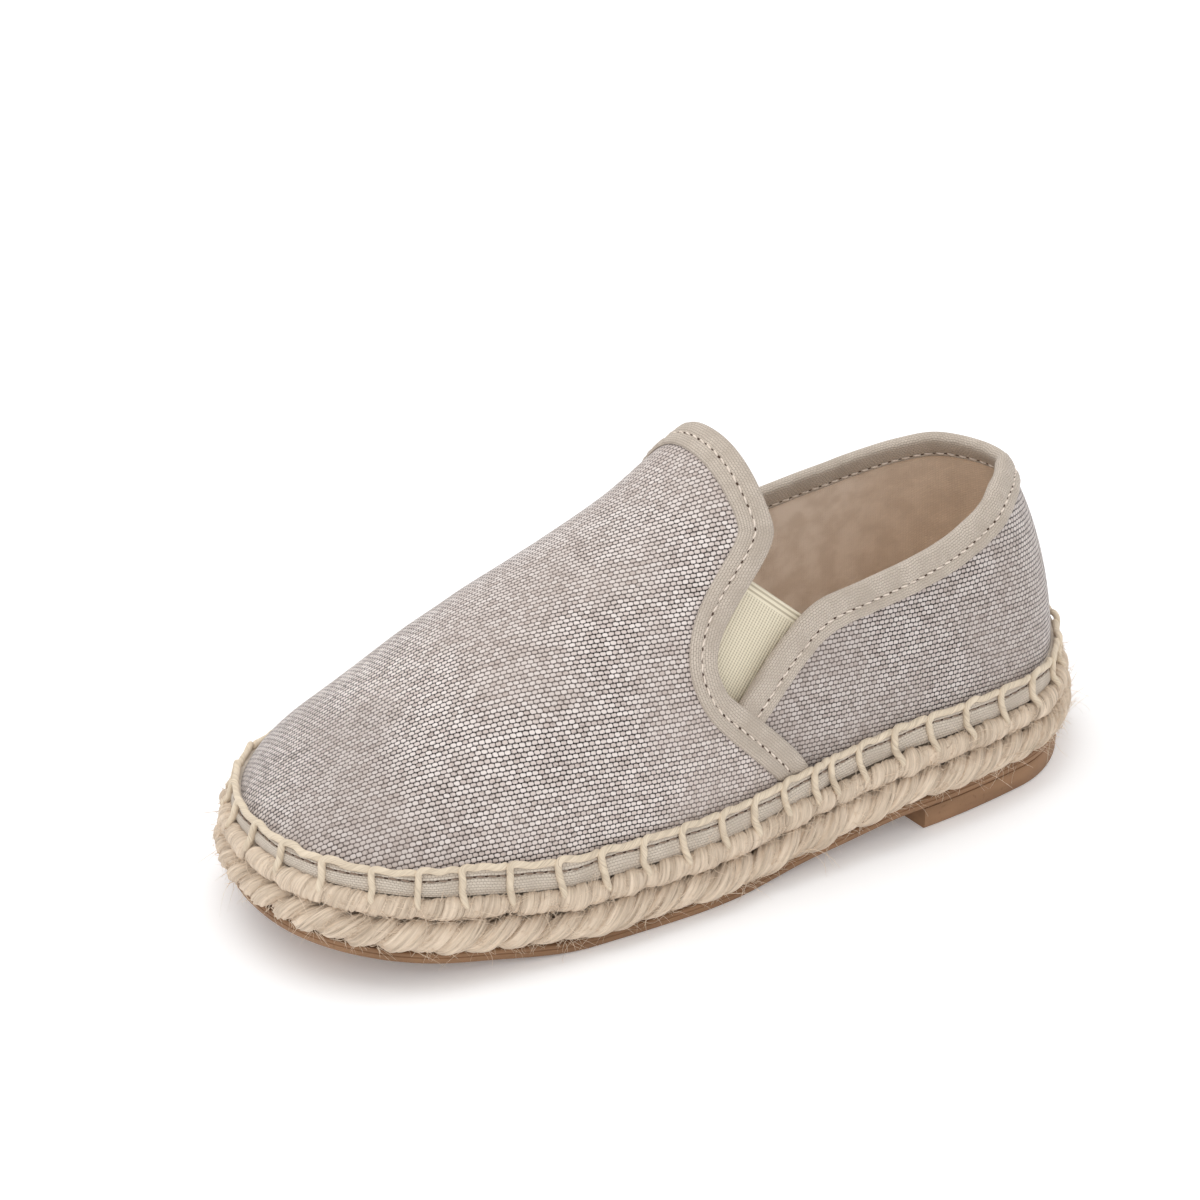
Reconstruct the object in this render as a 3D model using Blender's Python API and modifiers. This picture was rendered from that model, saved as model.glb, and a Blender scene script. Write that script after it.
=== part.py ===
"""A child's slip-on espadrille, the left shoe, as a set of separate pieces.

Metres. +X runs to the toe, +Y to the wearer's left, which is this shoe's outer side, and +Z up. The origin is
under the middle of the shoe, on the floor. A place on the upper is given by two angles: theta runs round the
sole's outline from the heel (0) over the outer side to the toe (pi) and back over the inner side, and phi
runs from the outline (0) up to the crest over the middle of the foot (pi / 2).
"""

import math

import bmesh
import bpy
import numpy as np

# Sizes of the whole shoe
LENGTH = 0.190
BALL_WIDTH = 0.077
INSTEP_HEIGHT = 0.0782
TOE_SPRING = 0.0071
HEEL_LEAN = 0.0024
TOE_SWING = 0.0023

# Sole
RUBBER = 0.0022
RUBBER_INSET = 0.0022
RUBBER_BEVEL = 0.0006
HEEL_LIFT = 0.0044
LOWER_BRAID = 0.0064
UPPER_BRAID = 0.0042
BRAID_DEPTH = 0.0036
UPPER_BRAID_INSET = 0.0011
BRAID_ROUND = 0.0011
STRAND_PITCH = 0.0070
STRAND_RELIEF = 0.0009

# Upper
UPPER_INSET = 0.0041
WALL = 0.0012
LAP = 0.0007
TAPE = 0.0005
TAPE_WIDTH = 0.0060
TAPE_TURN_IN = 0.0045
GORE = 0.0008
GORE_MARGIN = 0.0040
FOXING = 0.0007
FOXING_HEIGHT = 0.0052
FOXING_STEP = 0.02
INSOLE = 0.0018
GAP = 0.0003

# Half widths of the jute over the outer and the inner side, as shares of BALL_WIDTH
WIDTHS = {
    "station": (0.00, 0.10, 0.30, 0.45, 0.60, 0.72, 0.86, 1.00),
    "outer": (0.330, 0.415, 0.484, 0.490, 0.524, 0.511, 0.440, 0.384),
    "inner": (0.346, 0.352, 0.380, 0.382, 0.429, 0.494, 0.508, 0.416),
}
HEEL_ROUND = 0.155
HEEL_POWER = 1.96
TOE_ROUND = 0.160
TOE_POWER = 2.28
SWING_START = 0.55

# Underside of the rubber, as shares of HEEL_LIFT and of TOE_SPRING
UNDERSIDE = {
    "station": (0.00, 0.31, 0.42, 0.55, 0.72, 0.86, 1.00),
    "heel_lift": (1.0, 1.0, 0.55, 0.0, 0.0, 0.0, 0.0),
    "toe_spring": (0.0, 0.0, 0.0, 0.0, 0.0, 0.40, 1.0),
}
BREAST = 0.300

# Height of the last's crest, as shares of INSTEP_HEIGHT, and where its fans at heel and toe start
CREST = {
    "station": (0.00, 0.30, 0.42, 0.46, 0.54, 0.64, 0.74, 0.84, 1.00),
    "height": (0.866, 0.974, 1.040, 1.006, 0.890, 0.778, 0.666, 0.517, 0.256),
}
HEEL_FAN = 0.17
HEEL_FAN_BLEND = 0.06
TOE_FAN = 0.84
TOE_FAN_BLEND = 0.08

# Fullness of the last's sections: 2 is an ellipse, more is squarer
FULLNESS = {"station": (0.0, 0.30, 0.55, 1.0), "power": (2.20, 2.20, 2.33, 2.33)}
CROWN_POWER = 1.93
LEAN_START = 0.32
LEAN_REACH = 0.57
LEAN_FADE = 0.40

# Rear edge of the vamp: how far up the crest it lies, and its station
VAMP_EDGE = {
    "rise": (0.00, 0.10, 0.25, 0.37, 0.49, 0.58, 0.65, 0.70, 0.74, 0.80, 0.90, 1.00),
    "station": (0.438, 0.452, 0.486, 0.515, 0.541, 0.547, 0.538, 0.516, 0.475, 0.450, 0.450, 0.450),
}
# Top edge of the quarter, from the heel to its front, which lies under the vamp
QUARTER_EDGE = {
    "station": (0.00, 0.05, 0.11, 0.18, 0.25, 0.31, 0.37, 0.405, 0.43, 0.47, 0.51, 0.55, 0.60),
    "outer": (0.752, 0.802, 0.795, 0.723, 0.653, 0.607, 0.566, 0.550, 0.528, 0.478, 0.412, 0.335, 0.237),
    "inner": (0.752, 0.763, 0.741, 0.713, 0.660, 0.607, 0.566, 0.550, 0.528, 0.478, 0.412, 0.335, 0.237),
}
QUARTER_FRONT = 0.60
# Above the quarter's top edge, in phi: where the vamp's tape starts and ends to fold over the edge, and how
# much further its inner leg is full
FOLD_RISE = (0.05, 0.10)
LEG_RISE = 0.12
LAP_START = 0.12
LAP_FULL = 0.32

# Elastic: where its top edge meets the vamp's edge and the quarter's edge
GORE_VAMP_RISE = 0.735
GORE_QUARTER_STATION = 0.428

# Mesh steps
OUTLINE_STEPS = 70
VAMP_ROWS = 16
VAMP_COLUMNS = 15
QUARTER_ROWS = 7
QUARTER_COLUMNS = 44
GORE_STEPS = 5
STEP = 0.004
FINE_STEPS = 800
TURN_LENGTH = 0.012
EDGE_CROWDING = 1.25


def smooth(table, across, along, x):
    """A table's column read at x, on a curve through its rows that never overshoots them."""
    xs = np.array(table[across])
    ys = np.array(table[along])
    width = np.diff(xs)
    slope = np.diff(ys) / width
    tangent = np.zeros(len(xs))
    tangent[0] = slope[0]
    tangent[-1] = slope[-1]
    for i in range(1, len(xs) - 1):
        if slope[i - 1] * slope[i] > 0:
            before = 2 * width[i] + width[i - 1]
            after = width[i] + 2 * width[i - 1]
            tangent[i] = (before + after) / (before / slope[i - 1] + after / slope[i])
    x = np.clip(x, xs[0], xs[-1])
    i = np.clip(np.searchsorted(xs, x, side="right") - 1, 0, len(xs) - 2)
    t = (x - xs[i]) / width[i]
    rise = (3 - 2 * t) * t * t
    lead = t * (1 - t) ** 2 * width[i] * tangent[i]
    trail = t * t * (t - 1) * width[i] * tangent[i + 1]
    return ys[i] + (ys[i + 1] - ys[i]) * rise + lead + trail


def ease(x):
    x = np.clip(x, 0, 1)
    return x * x * (3 - 2 * x)


def soft_min(a, b, blend):
    overlap = np.maximum(blend - np.abs(a - b), 0) / blend
    return np.minimum(a, b) - overlap**2 * blend / 4


def station(theta):
    return (1 - np.cos(theta)) / 2


def middle(s):
    return TOE_SWING * np.clip((s - SWING_START) / (1 - SWING_START), 0, 1) ** 2


def outline(theta, inset=0.0):
    """The jute's plan outline, moved inward by inset."""

    def edge(angle):
        s = station(angle)
        outer = np.sin(angle) >= 0
        half = np.where(outer, smooth(WIDTHS, "station", "outer", s), smooth(WIDTHS, "station", "inner", s))
        heel = np.clip(1 - s / HEEL_ROUND, 0, 1) ** HEEL_POWER
        toe = np.clip(1 - (1 - s) / TOE_ROUND, 0, 1) ** TOE_POWER
        half = half * BALL_WIDTH * (1 - heel) ** (1 / HEEL_POWER) * (1 - toe) ** (1 / TOE_POWER)
        return np.stack([s * LENGTH, middle(s) + np.where(outer, half, -half)], -1)

    theta = np.asarray(theta, float)
    along = edge(theta + STEP) - edge(theta - STEP)
    inward = np.stack([along[..., 1], -along[..., 0]], -1)
    inward /= np.linalg.norm(inward, axis=-1, keepdims=True)
    return edge(theta) + inward * np.asarray(inset)[..., None]


def underside(s):
    lift = HEEL_LIFT * smooth(UNDERSIDE, "station", "heel_lift", s)
    return lift + TOE_SPRING * smooth(UNDERSIDE, "station", "toe_spring", s)


def lower_braid_foot(s):
    return underside(s) + RUBBER + GAP


def upper_braid_foot(s):
    return lower_braid_foot(s) + LOWER_BRAID + GAP


def feather(s):
    """Height of the upper's lower edge, just over the jute."""
    return upper_braid_foot(s) + UPPER_BRAID + GAP


def spine(s):
    """The crest over station s. Near the heel and toe it stays at one point, from which the sections fan out."""
    s_held = soft_min(s, TOE_FAN, TOE_FAN_BLEND)
    s_held = -soft_min(-s_held, -HEEL_FAN, HEEL_FAN_BLEND)
    height = INSTEP_HEIGHT * smooth(CREST, "station", "height", s_held)
    return np.stack([s_held * LENGTH, middle(s_held), height], -1)


def toe_roof(crest, x):
    """Height of the last's roof over x. Past the toe's fan it goes on down from the crest and levels out."""
    before = smooth(CREST, "station", "height", TOE_FAN - STEP)
    after = smooth(CREST, "station", "height", TOE_FAN + STEP)
    fall = INSTEP_HEIGHT * (after - before) / (2 * STEP) * (1 - TOE_FAN)
    share = np.clip((x - crest[..., 0]) / (LENGTH * (1 - TOE_FAN)), 0, 1)
    return crest[..., 2] + fall * (share - share**2 / 2)


def rise_to_phi(rise):
    return np.arcsin(np.clip(rise, 0, 1) ** (CROWN_POWER / 2))


def phi_to_rise(phi):
    up = np.sin(phi)
    return np.sign(up) * np.abs(up) ** (2 / CROWN_POWER)


def on_last(theta, phi):
    """A point of the vamp's outer surface. Past the crest, phi runs down the other side."""
    theta, phi = np.broadcast_arrays(np.asarray(theta, float), np.asarray(phi, float))
    over = phi > math.pi / 2
    theta = np.where(over, -theta, theta)
    phi = np.where(over, math.pi - phi, phi)
    s = station(theta)
    foot = np.concatenate([outline(theta, UPPER_INSET), feather(s)[..., None]], -1)
    crest = spine(s)
    spread = np.maximum(np.cos(phi), 0) ** (2 / smooth(FULLNESS, "station", "power", s))
    point = crest + (foot - crest) * spread[..., None]
    roof = toe_roof(crest, point[..., 0])
    point[..., 2] = foot[..., 2] + (roof - foot[..., 2]) * phi_to_rise(phi)
    reach = np.clip((point[..., 2] / INSTEP_HEIGHT - LEAN_START) / LEAN_REACH, 0, 1.3)
    point[..., 0] += HEEL_LEAN * reach**1.5 * np.clip(1 - s / LEAN_FADE, 0, 1)
    return point


def off_last(theta, phi, out):
    """A point that stands out from the last's surface, along its normal."""
    up = on_last(theta, phi + STEP) - on_last(theta, phi - STEP)
    along = on_last(theta + STEP, phi) - on_last(theta - STEP, phi)
    normal = np.cross(up, along)
    normal /= np.linalg.norm(normal, axis=-1, keepdims=True)
    return on_last(theta, phi) + normal * np.asarray(out)[..., None]


def quarter_out(s):
    """The quarter's outer face: level with the last at the heel, under the vamp by LAP further on."""
    return -LAP * ease((s - LAP_START) / (LAP_FULL - LAP_START))


def slide(theta, phi, move):
    """The angles of the point of the last's surface that lies a short move (a vector) from theta, phi."""
    for _ in range(4):
        up = (on_last(theta, phi + STEP) - on_last(theta, phi - STEP)) / (2 * STEP)
        along = (on_last(theta + STEP, phi) - on_last(theta - STEP, phi)) / (2 * STEP)
        frame = np.stack([along, up], -1)
        turn = np.linalg.pinv(frame) @ (move[..., None] / 4)
        theta = theta + turn[..., 0, 0]
        phi = phi + turn[..., 1, 0]
    return theta, phi


def vamp_edge(phi):
    """Theta of the vamp's rear edge at phi."""
    s = smooth(VAMP_EDGE, "rise", "station", phi_to_rise(phi))
    return np.arccos(1 - 2 * s)


def quarter_edge(theta):
    """Phi of the quarter's top edge at theta."""
    s = station(theta)
    outer = smooth(QUARTER_EDGE, "station", "outer", s)
    inner = smooth(QUARTER_EDGE, "station", "inner", s)
    return rise_to_phi(np.where(np.sin(theta) >= 0, outer, inner))


def travel(points):
    """How far along its path each point lies, where a turn of one radian counts as TURN_LENGTH."""
    run = np.gradient(points, axis=0)
    run /= np.linalg.norm(run, axis=1, keepdims=True)
    path = np.concatenate([points, TURN_LENGTH * run], 1)
    return np.concatenate([[0], np.cumsum(np.linalg.norm(np.diff(path, axis=0), axis=1))])


def evenly(count, low, high, path):
    """Values between low and high that lie evenly along the path that they draw, and closer in its bends."""
    fine = np.linspace(low, high, FINE_STEPS)
    far = travel(path(fine))
    return np.interp(np.linspace(0, far[-1], count), far, fine)


def both_sides(theta):
    return np.concatenate([outline(theta), outline(-theta)], -1)


def notch_theta():
    """Theta where the quarter's top edge passes under the vamp's rear edge."""
    thetas = np.linspace(math.pi / 4, math.pi * 0.6, 2000)
    behind = thetas - vamp_edge(quarter_edge(thetas))
    return float(thetas[np.argmax(behind > 0)])


def plan_middle():
    loop = outline(np.linspace(0, 2 * math.pi, 721))
    low = loop.min(axis=0)
    high = loop.max(axis=0)
    return np.array([(low[0] + high[0]) / 2, (low[1] + high[1]) / 2, 0.0])


ORIGIN = plan_middle()
HALF_THETAS = evenly(OUTLINE_STEPS // 2 + 1, 0, math.pi, both_sides)
OUTLINE_THETAS = np.concatenate([HALF_THETAS, -HALF_THETAS[-2:0:-1]])


def start_collections():
    for old in list(bpy.data.objects):
        bpy.data.objects.remove(old)
    parts = bpy.data.collections.new("espadrille")
    helpers = bpy.data.collections.new("joining_shapes")
    for collection in (parts, helpers):
        bpy.context.scene.collection.children.link(collection)
    return parts, helpers


def material(name, color, roughness):
    made = bpy.data.materials.new(name)
    made.use_nodes = True
    shader = made.node_tree.nodes["Principled BSDF"]
    shader.inputs["Base Color"].default_value = (*color, 1.0)
    shader.inputs["Roughness"].default_value = roughness
    shader.inputs["Metallic"].default_value = 0.0
    return made


def mesh_object(name, points, faces, collection, finish=None):
    """A smooth-shaded object from points in the last's own frame, its doubled points joined."""
    mesh = bpy.data.meshes.new(name)
    mesh.from_pydata((np.asarray(points) - ORIGIN).tolist(), [], faces)
    shape = bmesh.new()
    shape.from_mesh(mesh)
    bmesh.ops.remove_doubles(shape, verts=shape.verts, dist=0.00001)
    bmesh.ops.dissolve_degenerate(shape, edges=shape.edges, dist=0.00001)
    shape.to_mesh(mesh)
    shape.free()
    mesh.shade_smooth()
    mesh.set_sharp_from_angle(angle=math.radians(40))
    if finish:
        mesh.materials.append(finish)
    made = bpy.data.objects.new(name, mesh)
    collection.objects.link(made)
    return made


def sheet_faces(rows, columns):
    """Quads of a grid whose points run row by row."""
    quads = []
    for i in range(rows - 1):
        for j in range(columns - 1):
            a = i * columns + j
            quads.append((a, a + 1, a + columns + 1, a + columns))
    return quads


def facing_out(faces):
    """The faces of a sheet of the outer side, whose rows rise and whose columns run forward, turned outward."""
    return [tuple(reversed(face)) for face in faces]


def slab(name, loops, collection, finish):
    """A closed plate from loops of one outline, bottom to top. Its ends are strips from side to side."""
    count = len(loops[0])
    top = (len(loops) - 1) * count
    faces = []
    for level in range(len(loops) - 1):
        for k in range(count):
            after = (k + 1) % count
            a = level * count
            faces.append((a + k, a + count + k, a + count + after, a + after))
    for k in range(count // 2):
        strip = list(dict.fromkeys([k, k + 1, count - k - 1, (count - k) % count]))
        faces.append(tuple(strip))
        faces.append(tuple(top + corner for corner in reversed(strip)))
    return mesh_object(name, np.concatenate(loops), faces, collection, finish)


def ring(name, loops, collection, finish):
    """A closed band from loops that run round it, in the order of its section."""
    count = len(loops[0])
    faces = []
    for level in range(len(loops)):
        a = level * count
        b = (level + 1) % len(loops) * count
        for k in range(count):
            after = (k + 1) % count
            faces.append((a + k, b + k, b + after, a + after))
    return mesh_object(name, np.concatenate(loops), faces, collection, finish)


def bar(name, sections, collection, finish):
    """A closed bar through sections of equal point count, with flat ends."""
    count = len(sections[0])
    last = (len(sections) - 1) * count
    faces = [tuple(range(count)), tuple(reversed(range(last, last + count)))]
    for i in range(len(sections) - 1):
        for j in range(count):
            a = i * count + j
            b = i * count + (j + 1) % count
            faces.append((a, a + count, b + count, b))
    return mesh_object(name, np.concatenate(sections), faces, collection, finish)


def add_wall(piece, thickness):
    wall = piece.modifiers.new("wall", "SOLIDIFY")
    wall.thickness = thickness
    wall.offset = -1.0
    wall.use_rim = True
    return wall


def vamp_rows():
    rows = evenly(VAMP_ROWS + 1, 0, math.pi / 2, lambda phi: on_last(vamp_edge(phi), phi))
    folds = float(quarter_edge(notch_theta())) + np.array(FOLD_RISE)
    rows = np.sort(np.concatenate([rows, folds]))
    return np.concatenate([rows, math.pi - rows[-2::-1]])


def quarter_columns():
    front = math.acos(1 - 2 * QUARTER_FRONT)
    return evenly(QUARTER_COLUMNS + 1, -front, front, lambda theta: on_last(theta, quarter_edge(theta)))


def within_ends(values, low, high):
    """The values that lie well between low and high, and these two, so that a tape bends where its cloth does."""
    spare = (high - low) / len(values) / 3
    return np.concatenate([[low], values[(values > low + spare) & (values < high - spare)], [high]])


def vamp_points():
    """Rows from the outer feather over the crest to the inner feather, columns from the rear edge to the toe."""
    rows = vamp_rows()
    share = np.linspace(0, 1, VAMP_COLUMNS + 1) ** EDGE_CROWDING
    fine = np.linspace(0, math.pi, FINE_STEPS)
    far = travel(both_sides(fine))
    start = np.interp(vamp_edge(rows), fine, far)[:, None]
    thetas = np.interp(start + (far[-1] - start) * share, far, fine)
    phis = np.repeat(rows[:, None], VAMP_COLUMNS + 1, 1)
    return on_last(thetas, phis)


def build_upper(parts, helpers):
    canvas = material("canvas", (0.45, 0.39, 0.36), 0.9)
    points = vamp_points()
    faces = facing_out(sheet_faces(*points.shape[:2]))
    upper = mesh_object("upper", points.reshape(-1, 3), faces, parts, canvas)
    add_wall(upper, WALL)
    thetas = quarter_columns()
    shares = 1 - np.linspace(1, 0, QUARTER_ROWS + 1) ** EDGE_CROWDING
    phis = quarter_edge(thetas)[None] * shares[:, None]
    thetas = np.repeat(thetas[None], len(shares), 0)
    inner = off_last(thetas, phis, quarter_out(station(thetas)))
    faces = facing_out(sheet_faces(len(shares), len(thetas[0])))
    quarter = mesh_object("quarter_wall", inner.reshape(-1, 3), faces, helpers, canvas)
    add_wall(quarter, WALL)
    quarter.hide_render = True
    quarter.display_type = "WIRE"
    join = upper.modifiers.new("quarter", "BOOLEAN")
    join.operation = "UNION"
    join.object = quarter
    return upper


def foxing_top_phi(theta):
    """Phi just over the foxing's top edge."""
    s = station(theta)
    return rise_to_phi((FOXING_HEIGHT + 2 * GAP) / (spine(s)[..., 2] - feather(s)))


def above_foxing(theta, phi):
    low = foxing_top_phi(theta)
    return theta, np.clip(phi, low, math.pi - low)


def behind_vamp(theta, phi):
    reach = vamp_edge(phi) - 2 * (2 * GAP + TAPE) / LENGTH
    return np.clip(theta, -reach, reach), phi


def tape_section(theta, phi, into, level, turn_in, depth, within):
    """Sections of a tape folded over an edge. into is the way from the edge into the cloth, level the cloth's
    outer face, turn_in the length of the leg inside, depth how far down its face lies, and within what holds
    the legs on their side of the next piece."""
    edge = off_last(theta, phi, level)
    normal = off_last(theta, phi, level + 1e-4) - edge
    normal /= np.linalg.norm(normal, axis=-1, keepdims=True)
    legs = {}
    for share in (0.5, 1.0):
        for inner, reach in ((False, TAPE_WIDTH), (True, turn_in)):
            move = into * (np.asarray(reach) * share * np.ones(len(edge)))[:, None]
            legs[share, inner] = within(*slide(theta, phi, move))

    def beside(back, up):
        return edge - into * back + normal * np.asarray(up * np.ones(len(edge)))[:, None]

    def along(share, inner, up):
        return off_last(*legs[share, inner], level + up)

    web = GAP + TAPE
    inside = -np.asarray(depth) - TAPE
    return np.stack(
        [
            beside(web, GAP + 0.6 * TAPE),
            beside(web - 0.4 * TAPE, GAP + TAPE),
            along(0.5, False, GAP + TAPE),
            along(1.0, False, GAP + TAPE),
            along(1.0, False, GAP),
            along(0.5, False, GAP),
            beside(GAP, GAP),
            beside(GAP, -depth),
            along(1.0, True, -depth),
            along(1.0, True, inside),
            beside(web - 0.4 * TAPE, inside),
            beside(web, inside + 0.4 * TAPE),
        ],
        1,
    )


def into_cloth(theta, phi, level):
    """The way into the cloth at each point of an edge, which runs with the cloth on its right, seen from outside."""
    points = off_last(theta, phi, level)
    run = np.gradient(points, axis=0)
    normal = off_last(theta, phi, level + 1e-4) - points
    into = np.cross(normal, run)
    return into / np.linalg.norm(into, axis=-1, keepdims=True)


def build_vamp_binding(parts, finish):
    phis = rise_to_phi(np.linspace(0.02, 0.25, 200))
    start = float(phis[np.argmax(phis > foxing_top_phi(vamp_edge(phis)))])
    phi = within_ends(vamp_rows(), start, math.pi - start)
    theta = vamp_edge(phi)
    level = np.zeros(len(phi))
    into = into_cloth(theta, phi, level)
    height = np.minimum(phi, math.pi - phi) - float(quarter_edge(notch_theta()))
    free = ease((height - FOLD_RISE[1]) / LEG_RISE)
    deep = ease((height - FOLD_RISE[0]) / (FOLD_RISE[1] - FOLD_RISE[0]))
    turn_in = -0.5 * GAP + (TAPE_TURN_IN + 0.5 * GAP) * free
    depth = LAP - GAP - TAPE - 0.0001 + (WALL + GAP - LAP + GAP + TAPE + 0.0001) * deep
    sections = tape_section(theta, phi, into, level, turn_in, depth, above_foxing)
    return bar("vamp_binding", sections, parts, finish)


def build_collar_binding(parts, finish):
    reach = notch_theta()
    fine = np.linspace(0, reach, 400)
    rim = on_last(fine, quarter_edge(fine))
    to_notch = np.linalg.norm(rim - rim[-1], axis=1)
    end = float(fine[np.argmax(to_notch < 2 * (2 * GAP + TAPE))])
    theta = within_ends(quarter_columns(), -end, end)
    phi = quarter_edge(theta)
    level = quarter_out(station(theta))
    into = into_cloth(theta, phi, level)
    turn_in = TAPE_TURN_IN * np.ones(len(theta))
    depth = (WALL + GAP) * np.ones(len(theta))
    sections = tape_section(theta, phi, into, level, turn_in, depth, behind_vamp)
    return bar("collar_binding", sections, parts, finish)


def build_gore(name, side, parts, finish):
    """Elastic behind the gap between vamp and quarter, wider than the gap by a margin on each side."""
    share = np.linspace(0.16, 1.0, GORE_STEPS + 1)
    notch = notch_theta()
    low_phi = float(quarter_edge(notch))
    vamp_phi = low_phi + (rise_to_phi(GORE_VAMP_RISE) - low_phi) * share
    vamp_theta = vamp_edge(vamp_phi)
    quarter_theta = notch + (math.acos(1 - 2 * GORE_QUARTER_STATION) - notch) * share
    quarter_phi = quarter_edge(quarter_theta)
    drop = GORE_MARGIN / INSTEP_HEIGHT
    vamp_theta = np.concatenate([vamp_theta[:1], vamp_theta])
    vamp_phi = np.concatenate([vamp_phi[:1] - drop, vamp_phi])
    quarter_theta = np.concatenate([quarter_theta[:1], quarter_theta])
    quarter_phi = np.concatenate([quarter_phi[:1] - drop, quarter_phi])
    depth = -(LAP + WALL + TAPE + 4 * GAP)
    front = off_last(side * vamp_theta, vamp_phi, depth)
    rear = off_last(side * quarter_theta, quarter_phi, depth)
    across = front - rear
    more = GORE_MARGIN / np.linalg.norm(across, axis=1, keepdims=True)
    columns = np.linspace(0, 1, GORE_STEPS + 1)[None, :, None]
    points = (rear - across * more)[:, None] + (across * (1 + 2 * more))[:, None] * columns
    faces = sheet_faces(*points.shape[:2])
    if side > 0:
        faces = facing_out(faces)
    gore = mesh_object(name, points.reshape(-1, 3), faces, parts, finish)
    add_wall(gore, GORE)
    return gore


def build_foxing(parts, finish):
    """Band round the foot of the upper. It steps in with the quarter, behind the vamp's rear edge."""
    vamp_foot = VAMP_EDGE["station"][0]
    turns = np.arccos(1 - 2 * np.array([vamp_foot - FOXING_STEP, vamp_foot]))
    theta = np.sort(np.concatenate([OUTLINE_THETAS % (2 * math.pi), turns, 2 * math.pi - turns]))
    s = station(theta)
    level = quarter_out(s) * ease((vamp_foot - s) / FOXING_STEP)
    room = spine(s)[:, 2] - feather(s)

    def loop(height, out):
        return off_last(theta, rise_to_phi(height / room), level + out)

    outer = GAP + FOXING
    loops = [
        loop(0.0, GAP),
        loop(0.0, outer),
        loop(FOXING_HEIGHT / 2, outer + 0.0001),
        loop(FOXING_HEIGHT * 0.93, outer),
        loop(FOXING_HEIGHT, outer - 0.0003),
        loop(FOXING_HEIGHT, GAP),
        loop(FOXING_HEIGHT / 2, GAP),
    ]
    return ring("foxing", loops, parts, finish)


def level_loop(theta, inset, height):
    return np.concatenate([outline(theta, inset), height[:, None]], 1)


def build_insole(parts, finish):
    theta = OUTLINE_THETAS
    floor = feather(station(theta))
    inset = UPPER_INSET + LAP + WALL + GAP
    loops = [
        level_loop(theta, inset, floor),
        level_loop(theta, inset, floor + INSOLE * 0.8),
        level_loop(theta, inset + INSOLE * 0.3, floor + INSOLE),
    ]
    return slab("insole", loops, parts, finish)


def build_core(parts, finish):
    theta = OUTLINE_THETAS
    s = station(theta)
    inset = BRAID_DEPTH + GAP
    loops = [level_loop(theta, inset, lower_braid_foot(s)), level_loop(theta, inset, feather(s) - GAP)]
    return slab("jute_sole", loops, parts, finish)


def build_outsole(parts, finish):
    theta = OUTLINE_THETAS
    floor = underside(station(theta))
    loops = [
        level_loop(theta, RUBBER_INSET + RUBBER_BEVEL, floor),
        level_loop(theta, RUBBER_INSET, floor + RUBBER_BEVEL),
        level_loop(theta, RUBBER_INSET, floor + RUBBER),
    ]
    return slab("outsole", loops, parts, finish)


def build_heel_lift(parts, finish):
    """Second rubber layer, up to its breast."""
    reach = math.acos(1 - 2 * BREAST)
    half = np.linspace(0, reach, OUTLINE_STEPS // 4)
    theta = np.concatenate([half, -half[:0:-1]])
    flat = np.ones(len(theta))
    loops = [
        level_loop(theta, RUBBER_INSET + RUBBER_BEVEL, 0 * flat),
        level_loop(theta, RUBBER_INSET, RUBBER_BEVEL * flat),
        level_loop(theta, RUBBER_INSET, (HEEL_LIFT - GAP) * flat),
    ]
    count = len(theta)
    faces = []
    for level in range(2):
        for k in range(count):
            after = (k + 1) % count
            a = level * count
            faces.append((a + k, a + count + k, a + count + after, a + after))
    faces.append(tuple(range(count)))
    faces.append(tuple(2 * count + k for k in reversed(range(count))))
    return mesh_object("heel_lift", np.concatenate(loops), faces, parts, finish)


def braid(name, parts, finish, foot, height, inset, slant):
    """A row of twisted jute round the core: a band whose outer face rises in a strip for each strand."""
    fine = np.linspace(0, 2 * math.pi, 1441)
    loop = outline(fine)
    length = np.concatenate([[0], np.cumsum(np.linalg.norm(np.diff(loop, axis=0), axis=1))])
    strands = round(length[-1] / STRAND_PITCH)
    columns = np.arange(2 * strands) / (2 * strands)
    valley = np.arange(2 * strands) % 2

    def row(up, depth, relief, lean=slant):
        share = (columns + lean * (up - 0.5) / strands) % 1
        theta = np.interp(share * length[-1], length, fine)
        return level_loop(theta, depth + relief * STRAND_RELIEF * valley, foot(station(theta)) + up * height)

    bulge = (1.0, 0.28, 0.0, 0.28, 1.0)
    relief = (0.0, 1.0, 1.0, 1.0, 0.0)
    loops = [
        row(up, inset + BRAID_ROUND * b, r) for up, b, r in zip(np.linspace(0, 1, len(bulge)), bulge, relief)
    ]
    loops += [row(1.0, BRAID_DEPTH, 0.0, 0.0), row(0.0, BRAID_DEPTH, 0.0, 0.0)]
    return ring(name, loops, parts, finish)


def main():
    parts, helpers = start_collections()
    tape = material("cotton_tape", (0.50, 0.44, 0.37), 0.9)
    elastic = material("elastic", (0.78, 0.72, 0.56), 0.8)
    jute = material("jute", (0.62, 0.50, 0.35), 0.95)
    rubber = material("rubber", (0.45, 0.28, 0.14), 0.6)
    build_upper(parts, helpers)
    build_vamp_binding(parts, tape)
    build_collar_binding(parts, tape.copy())
    build_gore("gore_lateral", 1, parts, elastic)
    build_gore("gore_medial", -1, parts, elastic.copy())
    build_foxing(parts, material("foxing_cotton", (0.47, 0.43, 0.36), 0.9))
    build_insole(parts, material("lining", (0.62, 0.54, 0.43), 0.9))
    build_core(parts, jute)
    braid("braid_lower", parts, jute.copy(), lower_braid_foot, LOWER_BRAID, 0.0, 1.4)
    braid("braid_upper", parts, jute.copy(), upper_braid_foot, UPPER_BRAID, UPPER_BRAID_INSET, 0.5)
    build_outsole(parts, rubber)
    build_heel_lift(parts, rubber.copy())


main()
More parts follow.
